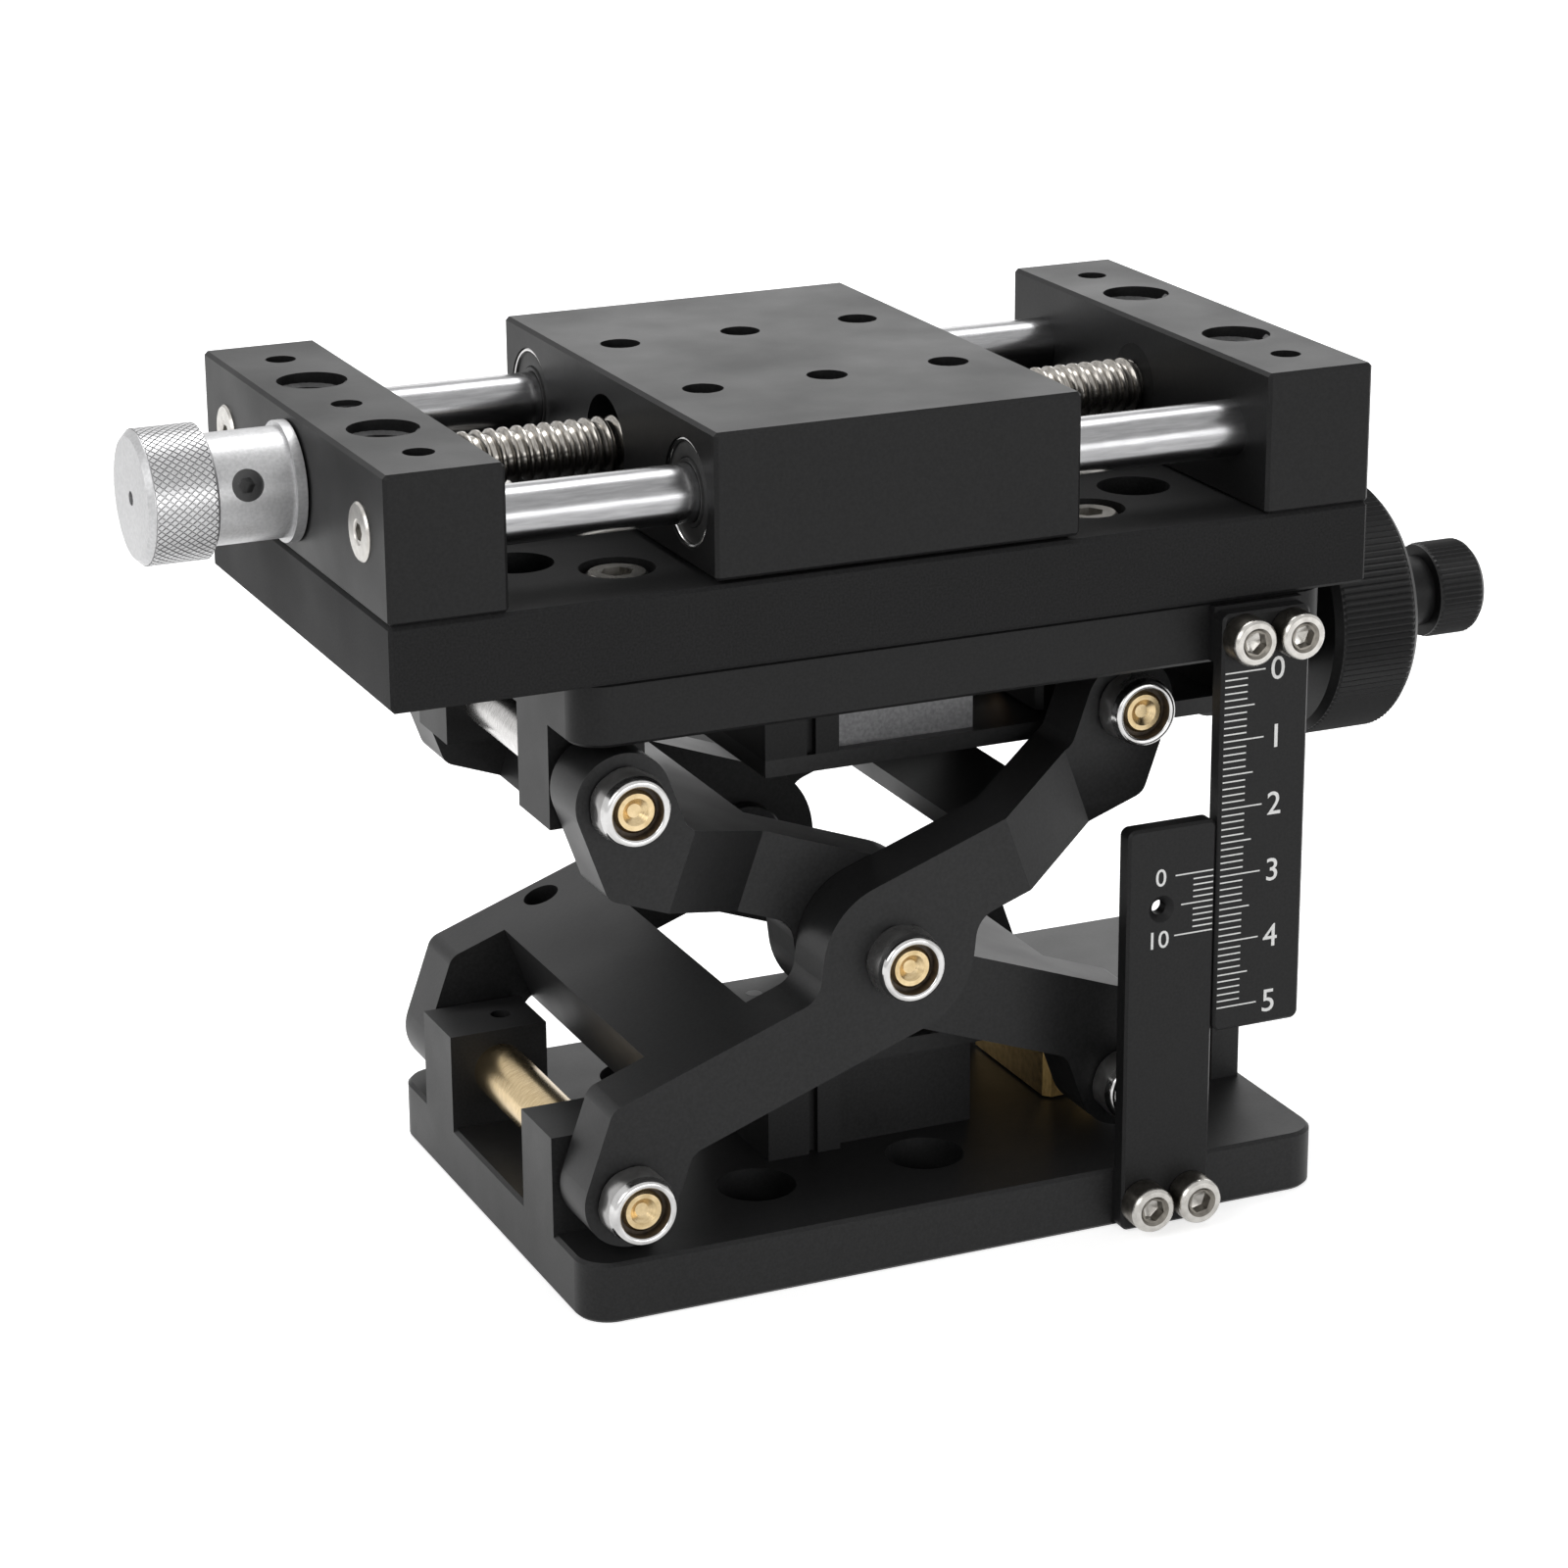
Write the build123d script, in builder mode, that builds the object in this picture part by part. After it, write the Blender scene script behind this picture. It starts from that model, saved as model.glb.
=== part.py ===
from build123d import *
import os
from math import asin, cos, degrees, radians, sin, sqrt

os.makedirs("parts", exist_ok=True)

# A manual lift stage: a scissor lift between two plates, driven by a handwheel
# and screw, and on top of it a linear slide with its own screw and knob.
# X runs along the long side towards the handwheel, Y to the back and Z up.
# The origin is the middle of the underside of the base plate.

# Two plates of the lift; the base is a little larger than the top plate all round
plate_length = 114
plate_width = 76
base_margin = 1
plate_thickness = 9
plate_corner = 5
edge_break = 0.5

# Scissor arms, drawn at the height that the stage is set to
arm_length = 99.6
arm_rise = 57.6
pivot_height = 8.2
pivot_inset = 6.6
arm_thickness = 9.4
inner_layer = 18
layer_gap = 0.2
hub_radius = 11.6
boss_radius = 6.9
arm_end_bend = 2.5
arm_waist_bend = 4
arm_hub_bend = 3
bar_width = 11.9
bar_tilt = 15.5
neck_tilt = 35
hub_shoulder = 138
joggle_start = 21.5
joggle_end = 36.5
brace_start = 20.4
brace_end = 36.7
web_start = 21.8
web_end = 34.2
web_thickness = 4
oil_hole_diameter = 5.5
oil_hole_depth = 7

# Pivots of the arms
shaft_diameter = 8
stud_diameter = 6
running_clearance = 0.05
face_clearance = 0.3
nut_flats = 10
nut_height = 5
nut_collar_height = 1.6
nut_collar_radius = 4.75
nut_recess_radius = 3.6
nut_recess_depth = 1.8
stud_recess = 1
dimple_width = 0.64
dimple_depth = 0.8
washer_diameter = 12
centre_head_diameter = 12
centre_head_height = 1.6

# Ears that hold the fixed pivots, and the blocks along the middle of a plate
ear_length = 14
ear_height = 14.5
ear_inner = 14.6
ear_outer = 26.3
ear_hole_diameter = 3
ear_hole_depth = 2
ear_hole_offset = 2.4
block_half_width = 15.8
block_height = 13
centre_block_start = -20.6
centre_block_end = -9.2
block_groove_width = 1.4
block_groove_depth = 1.2
highest_angle = 43.8
stop_gap = 2
stop_block_half_width = 14
end_block_length = 4.6
cover_thickness = 2.5
cover_screw_inset = 2.3
cover_screw_spread = 20
cover_screw_diameter = 2.5

# Sliding blocks at the free ends of the arms
lower_block_length = 9.4
upper_block_length = 13.6
slide_block_half_width = 12.2

# Screw of the lift
lift_screw_drop = 6.5
lift_screw_diameter = 8
journal_diameter = 6
lift_nut_diameter = 11.4
bearing_disc_radius = 14.4
bearing_disc_thickness = 4
wheel_start = 70.3
wheel_width = 14.2
wheel_radius = 18.75
wheel_hub_radius = 9
wheel_recess_depth = 2.5
wheel_rim_width = 3
lock_neck_radius = 5.4
lock_neck_length = 10.5
lock_head_radius = 7
lock_head_length = 8.2
lock_bore_diameter = 4

# Holes of the base plate
base_hole_radius = 3.3
base_counterbore_radius = 5.75
base_counterbore_depth = 6
base_hole_spacing_x = 26.6
base_hole_spacing_y = 45
base_hole_centre_x = -12.2

# Slide plate on top of the lift
slide_length = 145
slide_width = 78
slide_thickness = 11.7
slide_centre_x = -10.5
slide_screw_reach = 35.5
slide_screw_spread = 50
spare_hole_reach = 47
spare_hole_spread = 34
slide_counterbore_radius = 5.25
slide_counterbore_depth = 5.5
cap_screw_diameter = 5
cap_head_diameter = 8.5
cap_head_height = 5
cap_socket_flats = 4
slide_screw_grip = 6.8

# End blocks, rods and screw of the slide
end_block_width = 16.5
end_block_height = 20
axis_height = 10.3
rod_diameter = 8
rod_spread = 58
rod_cap_depth = 2
rod_cap_hole_diameter = 2
rod_cap_proud = 0.4
feed_screw_diameter = 8
feed_journal_diameter = 6
feed_bush_diameter = 12
block_screw_spread = 30
block_counterbore_radius = 4.9
block_counterbore_depth = 12
set_screw_diameter = 4.3
set_screw_length = 3
set_screw_socket_flats = 2.2
set_screw_socket_depth = 1.5

# Carriage
carriage_length = 54
carriage_gap = 0.5
carriage_height = 20.1
bushing_diameter = 15
bushing_length = 24
carriage_bore_diameter = 14
feed_nut_length = 18
top_hole_diameter = 5.7
top_hole_depth = 12
top_hole_spacing_x = 18.5
top_hole_spacing_y = 30

# Silver knob on the feed screw
knob_collar_radius = 8.3
knob_collar_length = 1.4
knob_hub_radius = 7.6
knob_hub_length = 10.7
knob_head_radius = 9.1
knob_head_length = 9.8
knob_chamfer = 0.8
knob_set_screw_diameter = 4.4
knob_set_screw_reach = 4.2
knob_set_screw_turn = 15

# Scale plate and vernier plate
gauge_plate_width = 14
scale_plate_left = 37.5
gauge_plate_thickness = 2.6
gauge_plate_corner = 1.2
gauge_edge_break = 0.4
gauge_plate_reach = 4
scale_plate_bottom = 28.8
scale_plate_top = 91
vernier_plate_left = 23.3
vernier_plate_top = 61.2
vernier_plate_bottom = 0.3
gauge_screw_spacing = 7.6
gauge_screw_diameter = 4
gauge_head_diameter = 6.8
gauge_head_height = 4
gauge_socket_flats = 3
gauge_screw_grip = 6
vernier_hole_diameter = 2.2
vernier_sink_diameter = 4
vernier_sink_depth = 0.9
vernier_hole_inset = 5.4
vernier_hole_drop = 12.2

# Places that follow from the sizes above
arm_angle = degrees(asin(arm_rise / arm_length))
arm_run = sqrt(arm_length**2 - arm_rise**2)
fixed_x = -plate_length / 2 + pivot_inset
sliding_x = fixed_x + arm_run
lower_pivot_z = plate_thickness + pivot_height
upper_pivot_z = lower_pivot_z + arm_rise
platform_z = upper_pivot_z + pivot_height
platform_top = platform_z + plate_thickness
mid_x = (fixed_x + sliding_x) / 2
mid_z = (lower_pivot_z + upper_pivot_z) / 2
inner_face = inner_layer + arm_thickness
outer_layer = inner_face + layer_gap
outer_face = outer_layer + arm_thickness
plate_end = plate_length / 2
base_front = plate_width / 2 + base_margin
gauge_face = plate_width / 2 + gauge_plate_reach
gauge_back = gauge_face - gauge_plate_thickness
ear_end = fixed_x + ear_length / 2 + 0.4
highest_run = arm_length * cos(radians(highest_angle))
stop_block_end = fixed_x + highest_run - upper_block_length / 2 - stop_gap
lower_cover_z = plate_thickness + block_height
upper_cover_z = platform_z - block_height
lift_axis_z = platform_z - lift_screw_drop
slide_top = platform_top + slide_thickness
axis_z = slide_top + axis_height
slide_left = slide_centre_x - slide_length / 2
slide_right = slide_centre_x + slide_length / 2
half_arm = arm_length / 2


def meet(angle_1, distance_1, angle_2, distance_2):
    """Point where two lines cross, each given by its normal's angle and its distance."""
    first = radians(angle_1)
    second = radians(angle_2)
    spread = sin(second - first)
    return Vector(
        (distance_1 * sin(second) - distance_2 * sin(first)) / spread,
        (distance_2 * cos(first) - distance_1 * cos(second)) / spread,
    )


def cross_plane(x, z, side=1):
    """Plane across the stage at x and z, its normal along Y to the given side."""
    return Plane(origin=(x, 0, z), x_dir=(1, 0, 0), z_dir=(0, side, 0))


def along_plane(x, y, z):
    """Plane whose normal runs along X, towards the handwheel."""
    return Plane(origin=(x, y, z), x_dir=(0, 1, 0), z_dir=(1, 0, 0))


def outline_points():
    """Outline of an arm about its middle pivot, bent into a bar and a neck at each end."""
    bar_normal = 90 - bar_tilt
    neck_normal = 90 + neck_tilt
    neck_offset = half_arm * cos(radians(neck_normal))
    inner_edge = bar_width - hub_radius
    corner = meet(neck_normal, boss_radius - neck_offset, bar_normal, inner_edge)
    crook = meet(bar_normal, inner_edge, hub_shoulder, hub_radius)
    hub_top = meet(hub_shoulder, hub_radius, bar_normal, hub_radius)
    shoulder = meet(bar_normal, hub_radius, neck_normal, boss_radius + neck_offset)
    along = Vector(cos(radians(neck_tilt)), sin(radians(neck_tilt))) * boss_radius
    across = Vector(-sin(radians(neck_tilt)), cos(radians(neck_tilt))) * boss_radius
    boss = Vector(half_arm, 0)
    half = [across - along - boss, corner, crook, hub_top, shoulder, boss + across + along]
    return half + [point * -1 for point in half]


def side_wall(station, joggle):
    """Distance from the middle to the inner face of a side bar at a station along it."""
    first, last = joggle
    share = min(max((station - first) / (last - first), 0), 1)
    return outer_layer + (inner_layer - outer_layer) * share


def cross_band(start, end, depth, joggle):
    """Corners of a band across both side bars that reaches a depth into them."""
    stations = [start] + [place for place in joggle if start < place < end] + [end]
    back = [(place, side_wall(place, joggle) + depth) for place in stations]
    return back + [(place, -wall) for place, wall in reversed(back)]


def scissor_arm(lean, joggle):
    """One arm frame: two side bars, stepped inwards at the joggle, and what joins them."""
    tilt = radians(arm_angle)
    bar = radians(arm_angle - bar_tilt)
    middle = (mid_x, 0, mid_z)
    outline_plane = Plane(middle, x_dir=(cos(tilt), 0, lean * sin(tilt)), z_dir=(0, -lean, 0))
    plan_plane = Plane(
        middle, x_dir=(cos(bar), 0, lean * sin(bar)), z_dir=(-sin(bar), 0, lean * cos(bar))
    )
    corner_radius = 0.98 * boss_radius
    radii = [corner_radius, arm_end_bend, arm_waist_bend, hub_radius, arm_hub_bend, corner_radius] * 2
    with BuildPart() as arm:
        with BuildSketch(outline_plane):
            with BuildLine():
                FilletPolyline(*outline_points(), radius=radii, close=True)
            make_face()
        extrude(amount=outer_face, both=True)
        with BuildSketch(plan_plane):
            with BuildLine():
                Polyline(*cross_band(-arm_length, arm_length, arm_thickness, joggle), close=True)
            make_face()
            with BuildLine():
                Polyline(*cross_band(-arm_length, arm_length, 0, joggle), close=True)
            make_face(mode=Mode.SUBTRACT)
            with BuildLine():
                Polyline(*cross_band(-brace_end, -brace_start, 1, joggle), close=True)
            make_face()
        extrude(amount=arm_length, both=True, mode=Mode.INTERSECT)
        with BuildSketch(plan_plane.offset(hub_radius - bar_width)):
            with BuildLine():
                Polyline(*cross_band(web_start, web_end, 1, joggle), close=True)
            make_face()
        extrude(amount=web_thickness)
        with BuildSketch(outline_plane):
            with Locations((-half_arm, 0), (0, 0), (half_arm, 0)):
                Circle(stud_diameter / 2 + running_clearance)
        extrude(amount=outer_face + 1, both=True, mode=Mode.SUBTRACT)
    return arm.part


def lift_plate(margin):
    """Plate with two ears and the blocks along its middle, lying with them upwards."""
    ear_start = -plate_end - margin
    with BuildPart() as plate:
        with BuildSketch():
            RectangleRounded(plate_length + 2 * margin, plate_width + 2 * margin, plate_corner)
        extrude(amount=plate_thickness)
        chamfer(plate.edges().group_by(Axis.Z)[0] + plate.edges().group_by(Axis.Z)[-1], edge_break)
        ear_middle = (ear_inner + ear_outer) / 2
        ear_centre = (ear_end + ear_start) / 2
        with BuildSketch(Plane.XY.offset(plate_thickness - edge_break)):
            with Locations((ear_centre, ear_middle), (ear_centre, -ear_middle)):
                Rectangle(ear_end - ear_start, ear_outer - ear_inner)
        extrude(amount=ear_height + edge_break)
        with BuildSketch(Plane.XY.offset(plate_thickness - edge_break)):
            with Locations(((centre_block_start + centre_block_end) / 2, 0)):
                Rectangle(centre_block_end - centre_block_start, 2 * block_half_width)
            with Locations((plate_end - end_block_length / 2, 0)):
                Rectangle(end_block_length, 2 * block_half_width)
        extrude(amount=block_height + edge_break)
        groove_x = (centre_block_start + centre_block_end) / 2 + block_groove_width
        with BuildSketch(Plane.XY.offset(plate_thickness)):
            with Locations((groove_x, block_half_width), (groove_x, -block_half_width)):
                Rectangle(block_groove_width, 2 * block_groove_depth)
        extrude(amount=block_height, mode=Mode.SUBTRACT)
        with BuildSketch(cross_plane(fixed_x, plate_thickness + pivot_height)):
            Circle(shaft_diameter / 2)
        extrude(amount=plate_width, both=True, mode=Mode.SUBTRACT)
    return plate.part


def lock_nut():
    """Lock nut on its face: a hexagon with a round collar, bored through and wider on top."""
    with BuildPart() as nut:
        with BuildSketch():
            RegularPolygon(nut_flats / 2, 6, major_radius=False)
        extrude(amount=nut_height - nut_collar_height)
        with BuildSketch(Plane.XZ):
            with BuildLine():
                Polyline(
                    (0, 0),
                    (nut_flats / 2 + 0.1, 0),
                    (nut_flats / 2 + 0.45, 0.4),
                    (nut_flats / 2 + 0.45, nut_height - nut_collar_height - 0.4),
                    (nut_flats / 2, nut_height - nut_collar_height + 0.1),
                    (0, nut_height - nut_collar_height + 0.1),
                    close=True,
                )
            make_face()
        revolve(mode=Mode.INTERSECT)
        with BuildSketch(Plane.XY.offset(nut_height - nut_collar_height)):
            Circle(nut_collar_radius)
        extrude(amount=nut_collar_height)
        chamfer(nut.edges().group_by(Axis.Z)[-1], 0.4)
        with BuildSketch():
            Circle(stud_diameter / 2)
        extrude(amount=nut_height, mode=Mode.SUBTRACT)
        with BuildSketch(Plane.XY.offset(nut_height)):
            Circle(nut_recess_radius)
        extrude(amount=-nut_recess_depth, mode=Mode.SUBTRACT)
    return nut.part


def cap_screw(diameter, length, head_diameter, head_height, socket_flats):
    """Socket head screw with its head seated on its plane and its shank below it."""
    with BuildPart() as screw:
        with BuildSketch():
            Circle(head_diameter / 2)
        extrude(amount=head_height)
        chamfer(screw.edges().group_by(Axis.Z)[-1], 0.4)
        with BuildSketch(Plane.XY.offset(head_height)):
            RegularPolygon(socket_flats / 2, 6, major_radius=False)
        extrude(amount=-head_height / 2, mode=Mode.SUBTRACT)
        with BuildSketch():
            Circle(diameter / 2)
        extrude(amount=-length)
    return screw.part


def stepped_shaft(middle_length, end_length, middle_diameter, end_diameter):
    """Cross shaft along Z about its middle, thinner at both ends, with a dimple in each."""
    with BuildPart() as shaft:
        with BuildSketch():
            Circle(middle_diameter / 2)
        extrude(amount=middle_length, both=True)
        with BuildSketch():
            Circle(end_diameter / 2)
        extrude(amount=end_length, both=True)
        chamfer(shaft.edges().group_by(Axis.Z)[0] + shaft.edges().group_by(Axis.Z)[-1], 0.4)
        for side in (1, -1):
            with BuildSketch(Plane.XY.offset(side * end_length)):
                Circle(end_diameter / 2 * dimple_width)
            extrude(amount=-side * dimple_depth, taper=50, mode=Mode.SUBTRACT)
    return shaft.part


def pivot_nuts(x, z, face):
    """Places for a nut on the front and one on the back, each against a face."""
    return [cross_plane(x, z, side).offset(face) for side in (-1, 1)]


# Base plate: ears, middle block, stop block and end block are one milled piece
with BuildPart() as base_plate:
    add(lift_plate(base_margin))
    stop_length = stop_block_end - centre_block_end
    with BuildSketch(Plane.XY.offset(plate_thickness - edge_break)):
        with Locations((centre_block_end + stop_length / 2, 0)):
            Rectangle(stop_length, 2 * stop_block_half_width)
    extrude(amount=block_height + edge_break)
    with Locations((base_hole_centre_x, 0, plate_thickness)):
        with GridLocations(base_hole_spacing_x, base_hole_spacing_y, 2, 2):
            CounterBoreHole(base_hole_radius, base_counterbore_radius, base_counterbore_depth)
    with BuildSketch(Plane.XY.offset(plate_thickness + ear_height)):
        with Locations((fixed_x + ear_hole_offset, 0)):
            with GridLocations(0, ear_inner + ear_outer, 1, 2):
                Circle(ear_hole_diameter / 2)
    extrude(amount=-ear_hole_depth, mode=Mode.SUBTRACT)
    with BuildSketch(Plane.XZ.offset(base_front)):
        with Locations((vernier_plate_left + gauge_plate_width / 2, plate_thickness / 2)):
            with GridLocations(gauge_screw_spacing, 0, 2, 1):
                Circle(gauge_screw_diameter / 2)
    extrude(amount=-gauge_screw_grip - 2, mode=Mode.SUBTRACT)
base_plate.part.label = "base_plate"
export_step(base_plate.part, "parts/base_plate.step")


def cover_plate(z):
    """Flat cover over the sliding block, screwed to the blocks at both ends."""
    with BuildPart() as cover:
        with BuildSketch(Plane.XY.offset(z)):
            with Locations(((centre_block_start + plate_end) / 2, 0)):
                Rectangle(plate_end - centre_block_start, 2 * block_half_width)
            with Locations(*cover_screw_places()):
                Circle(cover_screw_diameter / 2 + running_clearance, mode=Mode.SUBTRACT)
        extrude(amount=cover_thickness)
    return cover.part


def cover_screw_places():
    """Four places where a cover is screwed down, two at each end."""
    ends = (centre_block_end - cover_screw_inset, plate_end - cover_screw_inset)
    return [(x, side * cover_screw_spread / 2) for x in ends for side in (-1, 1)]


# Covers: flat black plates on the middle blocks of the base and of the top plate
with BuildPart() as lower_cover:
    add(cover_plate(lower_cover_z))
lower_cover.part.label = "lower_cover"
export_step(lower_cover.part, "parts/lower_cover.step")

with BuildPart() as upper_cover:
    add(cover_plate(upper_cover_z - cover_thickness))
upper_cover.part.label = "upper_cover"
export_step(upper_cover.part, "parts/upper_cover.step")

# Cross shafts: brass below left, steel above left with brass studs in its ends
nut_face = outer_face + face_clearance
outer_stud_end = nut_face + nut_height - stud_recess
lower_left_shaft = stepped_shaft(ear_outer, outer_stud_end, shaft_diameter, stud_diameter)
with BuildPart() as lower_pivot_shaft:
    with Locations(cross_plane(fixed_x, lower_pivot_z)):
        add(lower_left_shaft)
lower_pivot_shaft.part.label = "lower_pivot_shaft"
export_step(lower_pivot_shaft.part, "parts/lower_pivot_shaft.step")

with BuildPart() as upper_pivot_shaft:
    with BuildSketch(cross_plane(fixed_x, upper_pivot_z)):
        Circle(shaft_diameter / 2)
        Circle(stud_diameter / 2, mode=Mode.SUBTRACT)
    extrude(amount=ear_outer, both=True)
upper_pivot_shaft.part.label = "upper_pivot_shaft"
export_step(upper_pivot_shaft.part, "parts/upper_pivot_shaft.step")


def pivot_stud(length):
    """Brass stud along Z from its plane, with a chamfer and a dimple at its far end."""
    with BuildPart() as stud:
        with BuildSketch():
            Circle(stud_diameter / 2)
        extrude(amount=length)
        chamfer(stud.edges().group_by(Axis.Z)[-1], 0.4)
        with BuildSketch(Plane.XY.offset(length)):
            Circle(stud_diameter / 2 * dimple_width)
        extrude(amount=-dimple_depth, taper=50, mode=Mode.SUBTRACT)
    return stud.part


upper_stud_start = ear_inner
upper_stud = pivot_stud(outer_stud_end - upper_stud_start)
with BuildPart() as upper_pivot_studs:
    with Locations(*pivot_nuts(fixed_x, upper_pivot_z, upper_stud_start)):
        add(upper_stud)
upper_pivot_studs.part.label = "upper_pivot_studs"
export_step(upper_pivot_studs.part, "parts/upper_pivot_studs.step")

# Washers: one between each ear and the arm outside it
with BuildPart() as pivot_washer:
    with BuildSketch():
        Circle(washer_diameter / 2)
        Circle(stud_diameter / 2, mode=Mode.SUBTRACT)
    extrude(amount=outer_layer - ear_outer - face_clearance)

with BuildPart() as lower_pivot_washers:
    with Locations(*pivot_nuts(fixed_x, lower_pivot_z, ear_outer)):
        add(pivot_washer.part)
lower_pivot_washers.part.label = "lower_pivot_washers"
export_step(lower_pivot_washers.part, "parts/lower_pivot_washers.step")

with BuildPart() as upper_pivot_washers:
    with Locations(*pivot_nuts(fixed_x, upper_pivot_z, ear_outer)):
        add(pivot_washer.part)
upper_pivot_washers.part.label = "upper_pivot_washers"
export_step(upper_pivot_washers.part, "parts/upper_pivot_washers.step")

# Lock nuts on the ends of the pivots
nut = lock_nut()
with BuildPart() as lower_pivot_nuts:
    with Locations(*pivot_nuts(fixed_x, lower_pivot_z, nut_face)):
        add(nut)
lower_pivot_nuts.part.label = "lower_pivot_nuts"
export_step(lower_pivot_nuts.part, "parts/lower_pivot_nuts.step")

with BuildPart() as upper_pivot_nuts:
    with Locations(*pivot_nuts(fixed_x, upper_pivot_z, nut_face)):
        add(nut)
upper_pivot_nuts.part.label = "upper_pivot_nuts"
export_step(upper_pivot_nuts.part, "parts/upper_pivot_nuts.step")

with BuildPart() as centre_pivot_nuts:
    with Locations(*pivot_nuts(mid_x, mid_z, outer_face)):
        add(nut)
centre_pivot_nuts.part.label = "centre_pivot_nuts"
export_step(centre_pivot_nuts.part, "parts/centre_pivot_nuts.step")

# Centre pivots: a brass stud through each pair of side bars, a flat black head inside
centre_stud_start = inner_layer - face_clearance - centre_head_height / 2
centre_stud = pivot_stud(outer_face + nut_height - stud_recess - centre_stud_start)
with BuildPart() as centre_pivot_studs:
    with Locations(*pivot_nuts(mid_x, mid_z, centre_stud_start)):
        add(centre_stud)
centre_pivot_studs.part.label = "centre_pivot_studs"
export_step(centre_pivot_studs.part, "parts/centre_pivot_studs.step")

with BuildPart() as centre_head:
    with BuildSketch():
        Circle(centre_head_diameter / 2)
    extrude(amount=-centre_head_height)
    chamfer(centre_head.edges().group_by(Axis.Z)[0], 0.3)
    with BuildSketch():
        Circle(stud_diameter / 2)
    extrude(amount=-centre_head_height / 2, mode=Mode.SUBTRACT)

with BuildPart() as centre_pivot_heads:
    with Locations(*pivot_nuts(mid_x, mid_z, inner_layer - face_clearance)):
        add(centre_head.part)
centre_pivot_heads.part.label = "centre_pivot_heads"
export_step(centre_pivot_heads.part, "parts/centre_pivot_heads.step")

# Arm frames: the outer pair stays outside past the middle, the inner pair steps in early
with BuildPart() as outer_arm_frame:
    add(scissor_arm(1, (joggle_start, joggle_end)))
    oil_hole_angle = radians(arm_angle - bar_tilt)
    oil_hole_station = (brace_start + brace_end) / 2
    oil_hole_top = bar_width - hub_radius
    oil_plane = Plane(
        (
            mid_x - oil_hole_station * cos(oil_hole_angle) - oil_hole_top * sin(oil_hole_angle),
            (outer_layer + outer_face) / 2,
            mid_z - oil_hole_station * sin(oil_hole_angle) + oil_hole_top * cos(oil_hole_angle),
        ),
        x_dir=(cos(oil_hole_angle), 0, sin(oil_hole_angle)),
        z_dir=(-sin(oil_hole_angle), 0, cos(oil_hole_angle)),
    )
    with BuildSketch(oil_plane):
        Circle(oil_hole_diameter / 2)
    extrude(amount=-oil_hole_depth, mode=Mode.SUBTRACT)
outer_arm_frame.part.label = "outer_arm_frame"
export_step(outer_arm_frame.part, "parts/outer_arm_frame.step")

with BuildPart() as inner_arm_frame:
    add(scissor_arm(-1, (-joggle_end, -joggle_start)))
inner_arm_frame.part.label = "inner_arm_frame"
export_step(inner_arm_frame.part, "parts/inner_arm_frame.step")

# Lower sliding block: brass, runs between the base plate and its cover
lower_block_height = block_height - 2 * face_clearance
with BuildPart() as lower_slide_block:
    with BuildSketch(Plane.XY.offset(plate_thickness + face_clearance)):
        with Locations((sliding_x, 0)):
            Rectangle(lower_block_length, 2 * slide_block_half_width)
    extrude(amount=lower_block_height)
    chamfer(lower_slide_block.edges().filter_by(Axis.Z), 1)
    with BuildSketch(cross_plane(sliding_x, lower_pivot_z)):
        Circle(shaft_diameter / 2)
    extrude(amount=plate_width, both=True, mode=Mode.SUBTRACT)
lower_slide_block.part.label = "lower_slide_block"
export_step(lower_slide_block.part, "parts/lower_slide_block.step")

inner_nut_face = inner_face + face_clearance
inner_stud_end = inner_nut_face + nut_height - stud_recess
shoulder_face = inner_layer - face_clearance
lower_right_shaft = stepped_shaft(shoulder_face, inner_stud_end, shaft_diameter, stud_diameter)
with BuildPart() as lower_slide_shaft:
    with Locations(cross_plane(sliding_x, lower_pivot_z)):
        add(lower_right_shaft)
lower_slide_shaft.part.label = "lower_slide_shaft"
export_step(lower_slide_shaft.part, "parts/lower_slide_shaft.step")

with BuildPart() as lower_slide_nuts:
    with Locations(*pivot_nuts(sliding_x, lower_pivot_z, inner_nut_face)):
        add(nut)
lower_slide_nuts.part.label = "lower_slide_nuts"
export_step(lower_slide_nuts.part, "parts/lower_slide_nuts.step")

# Upper sliding block: carries the bronze nut of the lift screw and two side studs
block_stud_start = lift_nut_diameter / 2 + 1
with BuildPart() as upper_slide_block:
    with BuildSketch(Plane.XY.offset(upper_cover_z + face_clearance)):
        with Locations((sliding_x, 0)):
            Rectangle(upper_block_length, 2 * slide_block_half_width)
    extrude(amount=block_height - 2 * face_clearance)
    chamfer(upper_slide_block.edges().filter_by(Axis.Z), 1)
    with BuildSketch(along_plane(sliding_x, 0, lift_axis_z)):
        Circle(lift_nut_diameter / 2)
    extrude(amount=upper_block_length, both=True, mode=Mode.SUBTRACT)
    for side in (-1, 1):
        with BuildSketch(cross_plane(sliding_x, upper_pivot_z, side).offset(block_stud_start)):
            Circle(stud_diameter / 2)
        extrude(amount=slide_block_half_width, mode=Mode.SUBTRACT)
upper_slide_block.part.label = "upper_slide_block"
export_step(upper_slide_block.part, "parts/upper_slide_block.step")

with BuildPart() as lift_nut:
    with BuildSketch(along_plane(sliding_x, 0, lift_axis_z)):
        Circle(lift_nut_diameter / 2)
        Circle(lift_screw_diameter / 2 + running_clearance, mode=Mode.SUBTRACT)
    extrude(amount=upper_block_length / 2, both=True)
lift_nut.part.label = "lift_nut"
export_step(lift_nut.part, "parts/lift_nut.step")

with BuildPart() as block_stud:
    add(pivot_stud(inner_stud_end - block_stud_start))
    with BuildSketch(Plane.XY.offset(slide_block_half_width - block_stud_start)):
        Circle(shaft_diameter / 2)
    extrude(amount=shoulder_face - slide_block_half_width)

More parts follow.
